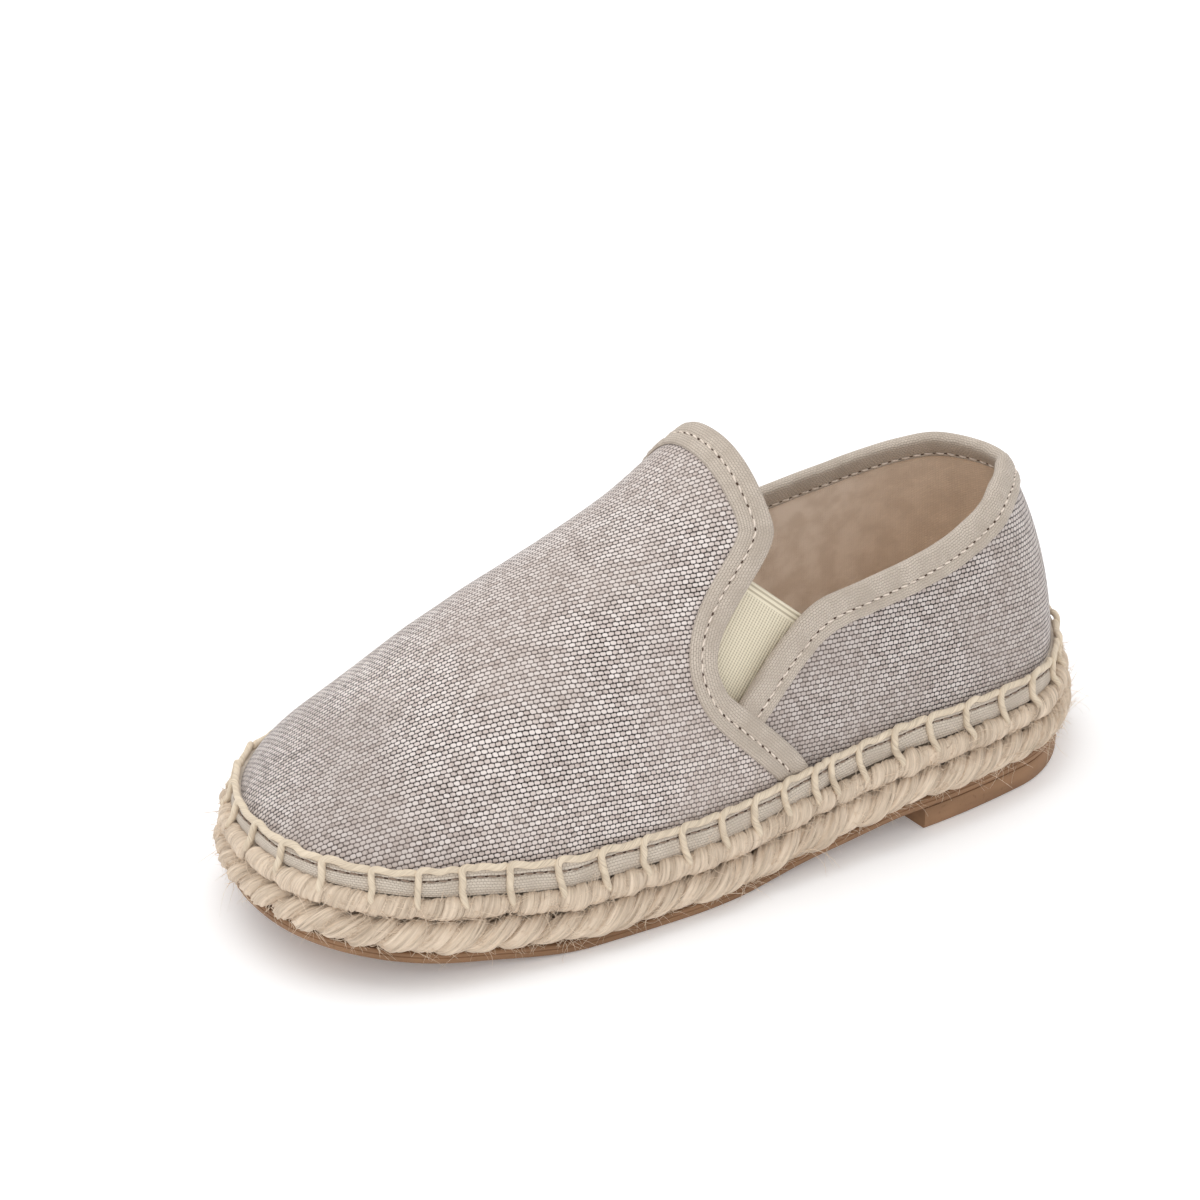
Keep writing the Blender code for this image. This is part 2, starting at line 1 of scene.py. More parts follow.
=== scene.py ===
"""Dresses the packed espadrille: woven canvas, taped edges, ribbed elastic, foxing, twisted jute and rubber.

The frame is in metres, +X to the toe, +Y to the outer side of this left shoe, +Z up. A place on the upper is
given by two angles: theta runs round the sole's outline from the heel (0) over the outer side to the toe (pi)
and back, and phi runs from the outline (0) up to the crest (pi / 2) and down the other side.
"""

import math

import bmesh
import bpy
import numpy as np
from bpy.props import FloatProperty, FloatVectorProperty, IntProperty, PointerProperty
from mathutils import Matrix, Vector


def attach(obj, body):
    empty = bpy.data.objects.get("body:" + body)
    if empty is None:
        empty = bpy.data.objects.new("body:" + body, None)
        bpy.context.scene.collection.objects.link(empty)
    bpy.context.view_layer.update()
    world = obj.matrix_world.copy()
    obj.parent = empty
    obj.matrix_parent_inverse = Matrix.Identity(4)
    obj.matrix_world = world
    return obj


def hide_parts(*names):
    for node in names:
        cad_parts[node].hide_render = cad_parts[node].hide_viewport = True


bl_info = {
    "name": "Espadrille Dresser",
    "version": (1, 0, 0),
    "blender": (4, 5, 0),
    "location": "View3D > Sidebar > Espadrille",
    "description": "Builds the visible cloth, stitching, jute and rubber of a slip-on espadrille",
    "category": "Object",
}

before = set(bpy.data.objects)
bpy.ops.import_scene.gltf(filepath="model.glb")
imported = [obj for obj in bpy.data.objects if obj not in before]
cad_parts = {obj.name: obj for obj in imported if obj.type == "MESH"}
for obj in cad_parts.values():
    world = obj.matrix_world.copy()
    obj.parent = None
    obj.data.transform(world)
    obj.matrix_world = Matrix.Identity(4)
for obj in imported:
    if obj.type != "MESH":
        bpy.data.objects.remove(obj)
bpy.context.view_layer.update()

# The shoe's sizes, the same as its solids have
LENGTH = 0.190
BALL_WIDTH = 0.077
INSTEP_HEIGHT = 0.0782
TOE_SPRING = 0.0071
HEEL_LEAN = 0.0024
TOE_SWING = 0.0023
RUBBER = 0.0022
RUBBER_INSET = 0.0022
HEEL_LIFT = 0.0044
LOWER_BRAID = 0.0064
UPPER_BRAID = 0.0042
UPPER_BRAID_INSET = 0.0011
UPPER_INSET = 0.0041
WALL = 0.0012
LAP = 0.0007
TAPE = 0.0005
TAPE_WIDTH = 0.0060
TAPE_TURN_IN = 0.0045
VAMP_SEAM_SHARE = 0.84
GORE = 0.0008
GORE_MARGIN = 0.0040
STITCH_LEAN = 0.00012
STITCH_RISE = 0.0002
STITCH_SINK = 0.00004
FOXING = 0.0007
CORE_INSET = 0.0039
CORE_ROUNDING = 0.0006
FOXING_HEIGHT = 0.0052
FOXING_STEP = 0.02
INSOLE = 0.0018
GAP = 0.0003
WIDTHS = {
    "station": (0.00, 0.10, 0.30, 0.45, 0.60, 0.72, 0.86, 1.00),
    "outer": (0.330, 0.415, 0.484, 0.490, 0.524, 0.511, 0.440, 0.384),
    "inner": (0.346, 0.352, 0.380, 0.382, 0.429, 0.494, 0.508, 0.416),
}
HEEL_ROUND = 0.155
HEEL_POWER = 1.96
TOE_ROUND = 0.160
TOE_POWER = 2.28
SWING_START = 0.55
UNDERSIDE = {
    "station": (0.00, 0.31, 0.42, 0.55, 0.72, 0.86, 1.00),
    "heel_lift": (1.0, 1.0, 0.55, 0.0, 0.0, 0.0, 0.0),
    "toe_spring": (0.0, 0.0, 0.0, 0.0, 0.0, 0.40, 1.0),
}
BREAST = 0.300
CREST = {
    "station": (0.00, 0.30, 0.42, 0.46, 0.54, 0.64, 0.74, 0.84, 1.00),
    "height": (0.866, 0.974, 1.040, 1.006, 0.890, 0.778, 0.666, 0.517, 0.256),
}
HEEL_FAN = 0.17
HEEL_FAN_BLEND = 0.06
TOE_FAN = 0.84
TOE_FAN_BLEND = 0.08
FULLNESS = {"station": (0.0, 0.30, 0.55, 1.0), "power": (2.20, 2.20, 2.33, 2.33)}
CROWN_POWER = 1.93
LEAN_START = 0.32
LEAN_REACH = 0.57
LEAN_FADE = 0.40
VAMP_EDGE = {
    "rise": (0.00, 0.10, 0.25, 0.37, 0.49, 0.58, 0.65, 0.70, 0.74, 0.80, 0.90, 1.00),
    "station": (0.438, 0.452, 0.486, 0.515, 0.541, 0.547, 0.538, 0.516, 0.475, 0.450, 0.450, 0.450),
}
QUARTER_EDGE = {
    "station": (0.00, 0.05, 0.11, 0.18, 0.25, 0.31, 0.37, 0.405, 0.43, 0.47, 0.51, 0.55, 0.60),
    "outer": (0.752, 0.802, 0.795, 0.723, 0.653, 0.607, 0.566, 0.550, 0.528, 0.478, 0.412, 0.335, 0.237),
    "inner": (0.752, 0.763, 0.741, 0.713, 0.660, 0.607, 0.566, 0.550, 0.528, 0.478, 0.412, 0.335, 0.237),
}
QUARTER_FRONT = 0.60
FOLD_RISE = (0.05, 0.10)
LEG_RISE = 0.12
LAP_START = 0.12
LAP_FULL = 0.32
GORE_VAMP_RISE = 0.735
GORE_QUARTER_STATION = 0.428
STEP = 0.004
STEP_OUT = 0.001
TURN_LENGTH = 0.012
RIPPLES = (0.0023, 0.0037, 0.0061, 0.0098)
RIPPLE_SHARE = 0.07
EDGE_ROUNDING = 0.017
ROUNDING = ((-2, 0.0625), (-1, 0.25), (0, 0.375), (1, 0.25), (2, 0.0625))

# Soft troughs (negative) and ridges that wear left in the cloth: where, how far along and across, turned how,
# how deep
CREASES = {
    "station": (0.60, 0.66, 0.72, 0.80, 0.90, 0.97, 0.55, 0.58, 0.30, 0.22, 0.36, 0.64, 0.74, 0.88),
    "rise": (0.60, 0.42, 0.24, 0.20, 0.30, 0.34, 0.22, 0.90, 0.42, 0.24, 0.22, 0.50, 0.24, 0.28),
    "side": (1, 1, 1, 1, 1, 1, 1, 1, 1, 1, 1, -1, -1, -1),
    "length": (
        0.020, 0.016, 0.010, 0.010, 0.012, 0.010, 0.010, 0.020, 0.018, 0.014, 0.012, 0.020, 0.012, 0.012,
    ),
    "width": (
        0.0060, 0.0050, 0.0036, 0.0034, 0.0050, 0.0040, 0.0034,
        0.007, 0.010, 0.006, 0.005, 0.006, 0.004, 0.005,
    ),
    "turn": (0.9, 1.2, 1.4, 1.6, 0.1, 0.2, 1.5, 0.2, 0.1, 1.3, 1.5, 1.0, 1.4, 0.2),
    "depth": (-0.45, 0.35, -0.30, 0.28, -0.35, 0.25, -0.28, -0.30, -0.50, 0.30, -0.28, -0.45, -0.30, 0.25),
}
CREASE_UNIT = 0.001
OWN = "dressed_"

# In the shaders: the kind of a plain number's socket, how slowly yarn changes along itself, and how far apart
# neighbouring yarns and strands lie in the noise
NUMBER = "NodeSocketFloat"
ALONG_YARN = 0.10
APART = 3.7
STRANDS_APART = 7.31

# How square a float of the weave is, along it and across
FLOAT_POWER = 4.2
ROW_POWER = 2.0

# Bars of the blanket stitch that the outer side shows, along the foxing's top edge from the heel
SEEN_BARS = (
    31.7, 41.3, 50.6, 60.1, 69.6, 78.1, 86.9, 93.7, 98.2, 105.9, 113.5, 121.8,
    131.1, 139.5, 148.5, 157.5, 167.1, 176.2, 184.2, 192.6, 201.6, 211.0, 220.3, 229.8,
)
BAR_UNIT = 0.001
MILLIMETRES = 1000.0


def smooth(table, across, along, x):
    """A table's column read at x, on a curve through its rows that never overshoots them."""
    xs = np.array(table[across])
    ys = np.array(table[along])
    width = np.diff(xs)
    slope = np.diff(ys) / width
    tangent = np.zeros(len(xs))
    tangent[0] = slope[0]
    tangent[-1] = slope[-1]
    for i in range(1, len(xs) - 1):
        if slope[i - 1] * slope[i] > 0:
            before = 2 * width[i] + width[i - 1]
            after = width[i] + 2 * width[i - 1]
            tangent[i] = (before + after) / (before / slope[i - 1] + after / slope[i])
    x = np.clip(x, xs[0], xs[-1])
    i = np.clip(np.searchsorted(xs, x, side="right") - 1, 0, len(xs) - 2)
    t = (x - xs[i]) / width[i]
    rise = (3 - 2 * t) * t * t
    lead = t * (1 - t) ** 2 * width[i] * tangent[i]
    trail = t * t * (t - 1) * width[i] * tangent[i + 1]
    return ys[i] + (ys[i + 1] - ys[i]) * rise + lead + trail


def ease(x):
    x = np.clip(x, 0, 1)
    return x * x * (3 - 2 * x)


def soft_min(a, b, blend):
    overlap = np.maximum(blend - np.abs(a - b), 0) / blend
    return np.minimum(a, b) - overlap**2 * blend / 4


def unit(vectors):
    """The same directions, each of length one."""
    return vectors / np.linalg.norm(vectors, axis=-1, keepdims=True)


def station(theta):
    return (1 - np.cos(theta)) / 2


def theta_of(s):
    return math.acos(1 - 2 * s)


def middle(s):
    return TOE_SWING * np.clip((s - SWING_START) / (1 - SWING_START), 0, 1) ** 2


def outline(theta, inset=0.0):
    """The jute's plan outline, moved inward by inset."""

    def edge(angle):
        s = station(angle)
        outer = np.sin(angle) >= 0
        half = np.where(outer, smooth(WIDTHS, "station", "outer", s), smooth(WIDTHS, "station", "inner", s))
        heel = np.clip(1 - s / HEEL_ROUND, 0, 1) ** HEEL_POWER
        toe = np.clip(1 - (1 - s) / TOE_ROUND, 0, 1) ** TOE_POWER
        half = half * BALL_WIDTH * (1 - heel) ** (1 / HEEL_POWER) * (1 - toe) ** (1 / TOE_POWER)
        return np.stack([s * LENGTH, middle(s) + np.where(outer, half, -half)], -1)

    theta = np.asarray(theta, float)
    along = edge(theta + STEP) - edge(theta - STEP)
    inward = unit(np.stack([along[..., 1], -along[..., 0]], -1))
    return edge(theta) + inward * np.asarray(inset)[..., None]


def underside(s):
    lift = HEEL_LIFT * smooth(UNDERSIDE, "station", "heel_lift", s)
    return lift + TOE_SPRING * smooth(UNDERSIDE, "station", "toe_spring", s)


def lower_braid_foot(s):
    return underside(s) + RUBBER + GAP


def upper_braid_foot(s):
    return lower_braid_foot(s) + LOWER_BRAID + GAP


def feather(s):
    """Height of the upper's lower edge, just over the jute."""
    return upper_braid_foot(s) + UPPER_BRAID + GAP


def spine(s):
    """The crest over station s, held at one point near the heel and the toe."""
    s_held = soft_min(s, TOE_FAN, TOE_FAN_BLEND)
    s_held = -soft_min(-s_held, -HEEL_FAN, HEEL_FAN_BLEND)
    height = INSTEP_HEIGHT * smooth(CREST, "station", "height", s_held)
    return np.stack([s_held * LENGTH, middle(s_held), height], -1)


def toe_roof(crest, x):
    before = smooth(CREST, "station", "height", TOE_FAN - STEP)
    after = smooth(CREST, "station", "height", TOE_FAN + STEP)
    fall = INSTEP_HEIGHT * (after - before) / (2 * STEP) * (1 - TOE_FAN)
    share = np.clip((x - crest[..., 0]) / (LENGTH * (1 - TOE_FAN)), 0, 1)
    return crest[..., 2] + fall * (share - share**2 / 2)


def rise_to_phi(rise):
    return np.arcsin(np.clip(rise, 0, 1) ** (CROWN_POWER / 2))


def phi_to_rise(phi):
    up = np.sin(phi)
    return np.sign(up) * np.abs(up) ** (2 / CROWN_POWER)


def folded(theta, phi):
    """The same place with phi under the crest."""
    theta, phi = np.broadcast_arrays(np.asarray(theta, float), np.asarray(phi, float))
    over = phi > math.pi / 2
    return np.where(over, -theta, theta), np.where(over, math.pi - phi, phi)


def on_last(theta, phi):
    """A point of the vamp's outer surface. Past the crest, phi runs down the other side."""
    theta, phi = folded(theta, phi)
    s = station(theta)
    foot = np.concatenate([outline(theta, UPPER_INSET), feather(s)[..., None]], -1)
    crest = spine(s)
    share = np.maximum(np.cos(phi), 0) ** (2 / smooth(FULLNESS, "station", "power", s))
    point = crest + (foot - crest) * share[..., None]
    roof = toe_roof(crest, point[..., 0])
    point[..., 2] = foot[..., 2] + (roof - foot[..., 2]) * phi_to_rise(phi)
    reach = np.clip((point[..., 2] / INSTEP_HEIGHT - LEAN_START) / LEAN_REACH, 0, 1.3)
    point[..., 0] += HEEL_LEAN * reach**1.5 * np.clip(1 - s / LEAN_FADE, 0, 1)
    return point


def moves_at(theta, phi):
    """How a point of the surface moves there over two STEPs of theta, and over two of phi."""
    along = on_last(theta + STEP, phi) - on_last(theta - STEP, phi)
    up = on_last(theta, phi + STEP) - on_last(theta, phi - STEP)
    return along, up


def normal_at(theta, phi):
    along, up = moves_at(theta, phi)
    normal = np.cross(up, along)
    return normal / np.maximum(np.linalg.norm(normal, axis=-1, keepdims=True), 1e-12)


def crease(theta, phi):
    """How far the cloth lies off the last there, from the table of troughs and ridges."""
    point = on_last(theta, phi)
    off = np.zeros(point.shape[:-1])
    for at, up, side, length, width, turn, depth in zip(*CREASES.values()):
        spot = (side * theta_of(at), rise_to_phi(up))
        ahead, above = moves_at(*spot)
        ahead = unit(side * ahead)
        above = unit(above)
        away = point - on_last(*spot)
        u = away @ (ahead * math.cos(turn) + above * math.sin(turn))
        v = away @ (above * math.cos(turn) - ahead * math.sin(turn))
        far = np.linalg.norm(away, axis=-1) / (2.5 * length)
        off = off + depth * CREASE_UNIT * np.exp(-((u / length) ** 2) - (v / width) ** 2 - far**4)
    return off


def skin(theta, phi, out=0.0):
    """A point that stands out from the cloth's surface, along its normal."""
    off = np.asarray(out) + crease(theta, phi)
    return on_last(theta, phi) + normal_at(theta, phi) * np.asarray(off)[..., None]


def quarter_out(s):
    """The quarter's outer face: level with the last at the heel, under the vamp by LAP further on."""
    return -LAP * ease((s - LAP_START) / (LAP_FULL - LAP_START))


def slide(theta, phi, move):
    """The angles of the point of the surface that lies a short move (a vector) from theta, phi."""
    for _ in range(4):
        slopes = np.stack(moves_at(theta, phi), -1) / (2 * STEP)
        turn = np.linalg.pinv(slopes) @ (move[..., None] / 4)
        theta = theta + turn[..., 0, 0]
        phi = phi + turn[..., 1, 0]
    return theta, phi


def vamp_edge(phi):
    """Theta of the vamp's rear edge, with the corners between the table's rows rounded."""
    rise = phi_to_rise(phi)
    s = sum(w * smooth(VAMP_EDGE, "rise", "station", rise + d * EDGE_ROUNDING) for d, w in ROUNDING)
    return np.arccos(1 - 2 * s)


def quarter_edge(theta):
    s = station(theta)
    outer = smooth(QUARTER_EDGE, "station", "outer", s)
    inner = smooth(QUARTER_EDGE, "station", "inner", s)
    return rise_to_phi(np.where(np.sin(theta) >= 0, outer, inner))


def lengths(points):
    """How far along its path each point lies."""
    return np.concatenate([[0], np.cumsum(np.linalg.norm(np.diff(points, axis=0), axis=1))])


def along_path(places, far, points):
    """The points at places along a path whose points lie far along it."""
    return np.stack([np.interp(places, far, points[:, k]) for k in range(3)], -1)


def step_lengths(points, axis):
    """How far along each point lies, for a grid whose paths run along one axis."""
    steps = np.cumsum(np.linalg.norm(np.diff(points, axis=axis), axis=2), axis=axis)
    return np.concatenate([np.zeros((len(points), 1)), steps], axis)


def evenly(count, low, high, path):
    """Values between low and high that lie evenly along the path that they draw, and closer in its bends."""
    fine = np.linspace(low, high, 1200)
    points = path(fine)
    run = unit(np.gradient(points, axis=0))
    far = lengths(np.concatenate([points, TURN_LENGTH * run], 1))
    return np.interp(np.linspace(0, far[-1], count), far, fine)


def notch_theta():
    """Theta where the quarter's top edge passes under the vamp's rear edge."""
    thetas = np.linspace(math.pi / 4, math.pi * 0.6, 2000)
    return float(thetas[np.argmax(thetas > vamp_edge(quarter_edge(thetas)))])


def foxing_top_phi(theta):
    s = station(theta)
    return rise_to_phi((FOXING_HEIGHT + 2 * GAP) / (spine(s)[..., 2] - feather(s)))


def plan_middle():
    loop = outline(np.linspace(0, 2 * math.pi, 721))
    low = loop.min(axis=0)
    high = loop.max(axis=0)
    return np.array([(low[0] + high[0]) / 2, (low[1] + high[1]) / 2, 0.0])


ORIGIN = plan_middle()


def quads(rows, columns, start=0, wrap=False):
    """Quads of a grid whose points run row by row. wrap joins the last column to the first."""
    across = columns if wrap else columns - 1
    i = np.arange(rows - 1)[:, None] * columns + start
    j = np.arange(across)[None]
    k = (j + 1) % columns
    return np.stack([i + j, i + k, i + columns + k, i + columns + j], -1).reshape(-1, 4)


def add_piece(name, points, faces, finishes, slot, marks=None, node=None, sharp=None):
    """A piece that rides on the shoe. Points are in the last's own frame. marks holds values kept at each
    point, which the finishes read. Edges over sharp degrees stay sharp."""
    mesh = bpy.data.meshes.new(name)
    mesh.from_pydata((np.asarray(points) - ORIGIN).tolist(), [], [list(f) for f in faces])
    mesh.shade_smooth()
    if sharp:
        mesh.set_sharp_from_angle(angle=math.radians(sharp))
    for finish in finishes:
        mesh.materials.append(finish)
    for key, values in (marks or {}).items():
        kept = mesh.attributes.new(key, "FLOAT_VECTOR", "POINT")
        kept.data.foreach_set("vector", np.asarray(values, np.float32).ravel())
    mesh.validate()
    piece = bpy.data.objects.new(name, mesh)
    bpy.context.scene.collection.objects.link(piece)
    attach(piece, "root")
    if node:
        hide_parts(node)
    return piece


def flatten(points, start, turn, seam=False):
    """Lays a grid of cloth flat at its true lengths, in millimetres, as its pattern piece is cut: first
    coarsely, then in full. seam keeps the last column's two halves together."""
    solid = points * MILLIMETRES
    flat = start * MILLIMETRES
    down = np.insert(np.cumsum(np.linalg.norm(np.diff(solid, axis=0), axis=2).mean(axis=1)), 0, 0)
    along = np.insert(np.cumsum(np.linalg.norm(np.diff(solid, axis=1), axis=2).mean(axis=0)), 0, 0)
    for most, rounds in ((9, 500), (17, 500), (33, 500), (65, 300), (len(down) + len(along), 240)):
        rows = np.unique(np.linspace(0, len(down) // 2, min(most, len(down)) // 2 + 1).round().astype(int))
        rows = np.unique(np.concatenate([rows, len(down) - 1 - rows]))
        columns = np.unique(np.linspace(0, len(along) - 1, min(most, len(along))).round().astype(int))
        flat = relax(solid[np.ix_(rows, columns)], flat[np.ix_(rows, columns)], rounds, seam)
        for fine, coarse in ((down, down[rows]), (along, along[columns])):
            lines = [[np.interp(fine, coarse, line) for line in flat[..., k].T] for k in range(2)]
            flat = np.stack(lines, -1)
    c = math.cos(turn)
    s = math.sin(turn)
    u = flat[..., 0] * c + flat[..., 1] * s
    v = flat[..., 1] * c - flat[..., 0] * s
    return np.stack([u, v, np.zeros(u.shape)], -1)


def relax(solid, place, rounds, seam):
    """Moves the points of a flat grid until they lie as far from their neighbours as in space."""
    pairs = []
    tall, wide = place.shape[:2]
    for a, b in (((0, 0), (0, 1)), ((0, 0), (1, 0)), ((0, 0), (1, 1)), ((0, 1), (1, 0))):
        high = max(a[0], b[0])
        broad = max(a[1], b[1])
        first = (slice(a[0], tall - high + a[0]), slice(a[1], wide - broad + a[1]))
        second = (slice(b[0], tall - high + b[0]), slice(b[1], wide - broad + b[1]))
        pairs.append((first, second, np.linalg.norm(solid[second] - solid[first], axis=-1)))
    for _ in range(rounds):
        push = np.zeros(place.shape)
        count = np.zeros((tall, wide, 1))
        for first, second, length in pairs:
            gap = place[second] - place[first]
            now = np.linalg.norm(gap, axis=-1) + 1e-9
            move = gap * (0.5 * (now - length) / now)[..., None]
            push[first] += move
            push[second] -= move
            count[first] += 1
            count[second] += 1
        place = place + 1.6 * push / count
        if seam:
            place[:, -1] = (place[:, -1] + place[::-1, -1]) / 2
    return place


def add_sheet(name, points, cloth, finishes, wall, **ways):
    """Cloth of one thickness: a grid of its outer face, joined where points meet, with the lining inside."""
    rows, columns = points.shape[:2]
    faces = quads(rows, columns)[:, ::-1]
    marks = {"cloth": cloth.reshape(-1, 3)}
    piece = add_piece(name, points.reshape(-1, 3), faces, finishes, marks=marks, **ways)
    shape = bmesh.new()
    shape.from_mesh(piece.data)
    bmesh.ops.remove_doubles(shape, verts=shape.verts, dist=0.00001)
    bmesh.ops.dissolve_degenerate(shape, edges=shape.edges, dist=0.00001)
    shape.to_mesh(piece.data)
    shape.free()
    layer = piece.modifiers.new("wall", "SOLIDIFY")
    layer.thickness = wall
    layer.offset = -1
    layer.material_offset = len(finishes) - 1


def add_sweep(name, sections, marks, finish, closed=False, **ways):
    """A solid through sections of equal point count, with its ends closed, or run into a ring."""
    count, corners = sections.shape[:2]
    faces = [tuple(face) for face in quads(count, corners, wrap=True)]
    if closed:
        last = (count - 1) * corners
        for j in range(corners):
            k = (j + 1) % corners
            faces.append((last + j, last + k, k, j))
    else:
        faces.append(tuple(reversed(range(corners))))
        faces.append(tuple(range((count - 1) * corners, count * corners)))
    add_piece(name, sections.reshape(-1, 3), faces, [finish], marks=marks, **ways)


def tube_faces(many, steps, sides):
    """Faces of many closed tubes, each of as many rings, the walls first."""
    first = (np.arange(many) * steps * sides)[:, None, None]
    walls = quads(steps, sides, wrap=True)[None] + first
    ends = np.stack([np.arange(sides)[::-1], (steps - 1) * sides + np.arange(sides)])[None] + first
    return [*walls.reshape(-1, 4).tolist(), *ends.reshape(-1, sides).tolist()]


def tubes(paths, ups, radii, sides, ply=0.0, twist=0.0, flat=1.0):
    """Points, faces and fibre marks of many round strands. paths and ups are (strand, step, 3), and radii are
    (strand, step). ply is how deep two twisted plies show, and flat squeezes a strand along its ups."""
    many, steps = paths.shape[:2]
    run = np.gradient(paths, axis=1)
    run /= np.linalg.norm(run, axis=2, keepdims=True) + 1e-12
    side = np.cross(run, ups)
    side /= np.linalg.norm(side, axis=2, keepdims=True) + 1e-12
    up = np.cross(side, run)
    far = step_lengths(paths, 1)
    angle = np.arange(sides) / sides * 2 * math.pi
    turn = angle[None, None] - (far * twist)[..., None]
    wide = radii[..., None] * (1 + ply * (np.abs(np.cos(turn)) - 0.6))
    points = (
        paths[:, :, None]
        + side[:, :, None] * (wide * np.cos(angle))[..., None]
        + up[:, :, None] * (wide * np.sin(angle) * flat)[..., None]
    )
    marks = np.empty(points.shape)
    marks[..., 0] = far[..., None] * MILLIMETRES
    marks[..., 1] = (radii.max(axis=1)[:, None, None] * turn) * MILLIMETRES
    marks[..., 2] = np.arange(many)[:, None, None] * STRANDS_APART
    return points.reshape(-1, 3), tube_faces(many, steps, sides), marks.reshape(-1, 3)


def shade(red, green, blue):
    """A colour as seen on a screen, from 0 to 255, as the light values that a shader takes."""
    return tuple(((v / 255 + 0.055) / 1.055) ** 2.4 for v in (red, green, blue))


def put(tree, kind, ways=None, **values):
    """A shader node. A value that is a socket is linked, any other is set."""
    node = tree.nodes.new(kind)
    for key, value in (ways or {}).items():
        setattr(node, key, value)
    for key, value in values.items():
        socket = node.inputs[int(key[1:]) if key[0] == "n" and key[1:].isdigit() else key.replace("_", " ")]
        if isinstance(value, bpy.types.NodeSocket):
            tree.links.new(value, socket)
        else:
            socket.default_value = value
    return node


def calc(tree, operation, *values, clamp=False):
    inputs = {f"n{k}": value for k, value in enumerate(values)}
    return put(tree, "ShaderNodeMath", {"operation": operation, "use_clamp": clamp}, **inputs).outputs[0]


def between(tree, factor, low, high):
    """A colour between two others."""
    low, high = ((*c, 1.0) if isinstance(c, tuple) and len(c) == 3 else c for c in (low, high))
    ways = {"data_type": "RGBA", "clamp_factor": True}
    return put(tree, "ShaderNodeMix", ways, n0=factor, n6=low, n7=high).outputs[2]


def spread(tree, value, low, high, to_low=0.0, to_high=1.0):
    ways = {"interpolation_type": "SMOOTHSTEP"}
    return put(tree, "ShaderNodeMapRange", ways, n0=value, n1=low, n2=high, n3=to_low, n4=to_high).outputs[0]


def scaled(tree, vector, factors):
    return put(tree, "ShaderNodeVectorMath", {"operation": "MULTIPLY"}, n0=vector, n1=factors).outputs[0]


def mark(tree, name):
    return put(tree, "ShaderNodeAttribute", {"attribute_name": name}).outputs["Vector"]


def new_group(name, inputs, outputs):
    """An empty node group with named sockets, and its input and output nodes."""
    group = bpy.data.node_groups.new(name, "ShaderNodeTree")
    for title, kind, value in inputs:
        socket = group.interface.new_socket(title, in_out="INPUT", socket_type=kind)
        if value is not None:
            socket.default_value = value
    for title, kind in outputs:
        group.interface.new_socket(title, in_out="OUTPUT", socket_type=kind)
    return group, group.nodes.new("NodeGroupInput").outputs, group.nodes.new("NodeGroupOutput").inputs


def thick_and_thin(group, **place):
    """Noise that changes from yarn to yarn, and slowly along each."""
    line = put(group, "ShaderNodeCombineXYZ", None, **place).outputs[0]
    return put(group, "ShaderNodeTexNoise", None, Vector=line, Scale=1.0, Detail=2.0).outputs["Fac"]


def make_weave_group():
    """Plain weave: rows of short floats, each row shifted by half a float, with uneven yarn."""
    group, given, result = new_group(
        "plain_weave",
        [
            ("Cloth", "NodeSocketVector", None),
            ("Float Length", NUMBER, 1.12),
            ("Row Height", NUMBER, 0.9),
            ("Waviness", NUMBER, 0.3),
            ("Slant", NUMBER, 0.03),
        ],
        [("Height", NUMBER), ("Yarn", NUMBER), ("Slub", NUMBER)],
    )
    drift = put(group, "ShaderNodeTexNoise", None, Vector=given["Cloth"], Scale=0.35, Detail=2.0)
    drift = put(group, "ShaderNodeSeparateColor", None, Color=drift.outputs["Color"]).outputs
    cloth = put(group, "ShaderNodeSeparateXYZ", None, Vector=given["Cloth"]).outputs
    waves = [calc(group, "SUBTRACT", drift[k], 0.5) for k in (0, 1)]
    waves = [calc(group, "MULTIPLY", wave, given["Waviness"]) for wave in waves]
    u = calc(group, "DIVIDE", calc(group, "ADD", cloth[0], waves[0]), given["Float Length"])
    v = calc(group, "DIVIDE", calc(group, "ADD", cloth[1], waves[1]), given["Row Height"])
    row = calc(group, "FLOOR", v)
    shifted = calc(group, "ADD", u, calc(group, "FRACT", calc(group, "MULTIPLY", row, 0.5)))
    across = calc(group, "SUBTRACT", calc(group, "FRACT", v), 0.5)
    along = calc(group, "SUBTRACT", calc(group, "FRACT", shifted), 0.5)
    along = calc(group, "ADD", along, calc(group, "MULTIPLY", across, given["Slant"]))
    column = calc(group, "FLOOR", shifted)
    cell = put(group, "ShaderNodeCombineXYZ", None, X=column, Y=row).outputs[0]
    own = put(group, "ShaderNodeTexWhiteNoise", {"noise_dimensions": "3D"}, Vector=cell).outputs["Value"]
    slow = [calc(group, "MULTIPLY", cloth[k], ALONG_YARN) for k in (0, 1)]
    rows = thick_and_thin(group, X=slow[0], Y=calc(group, "MULTIPLY", row, APART))
    columns = thick_and_thin(group, X=calc(group, "MULTIPLY", column, APART), Y=slow[1])
    wide, tall = (
        calc(group, "POWER", calc(group, "MULTIPLY", calc(group, "ABSOLUTE", off), 2.0), power)
        for off, power in ((along, FLOAT_POWER), (across, ROW_POWER))
    )
    dome = calc(group, "SUBTRACT", 1.0, calc(group, "ADD", wide, tall), clamp=True)
    swell = calc(group, "MULTIPLY_ADD", own, 0.25, 0.85)
    fuzz = put(group, "ShaderNodeTexNoise", None, Vector=given["Cloth"], Scale=1.9, Detail=3.0).outputs["Fac"]
    fuzz = calc(group, "MULTIPLY_ADD", fuzz, 1.5, 0.25)
    body = calc(group, "MULTIPLY", calc(group, "POWER", dome, 0.6), swell)
    group.links.new(calc(group, "MULTIPLY", body, fuzz), result["Height"])
    blend = calc(group, "MULTIPLY_ADD", rows, 0.6, calc(group, "MULTIPLY", own, 0.4))
    group.links.new(blend, result["Yarn"])
    slub = calc(group, "ADD", calc(group, "MULTIPLY", rows, 0.5), calc(group, "MULTIPLY", columns, 0.5))
    group.links.new(slub, result["Slub"])
    return group


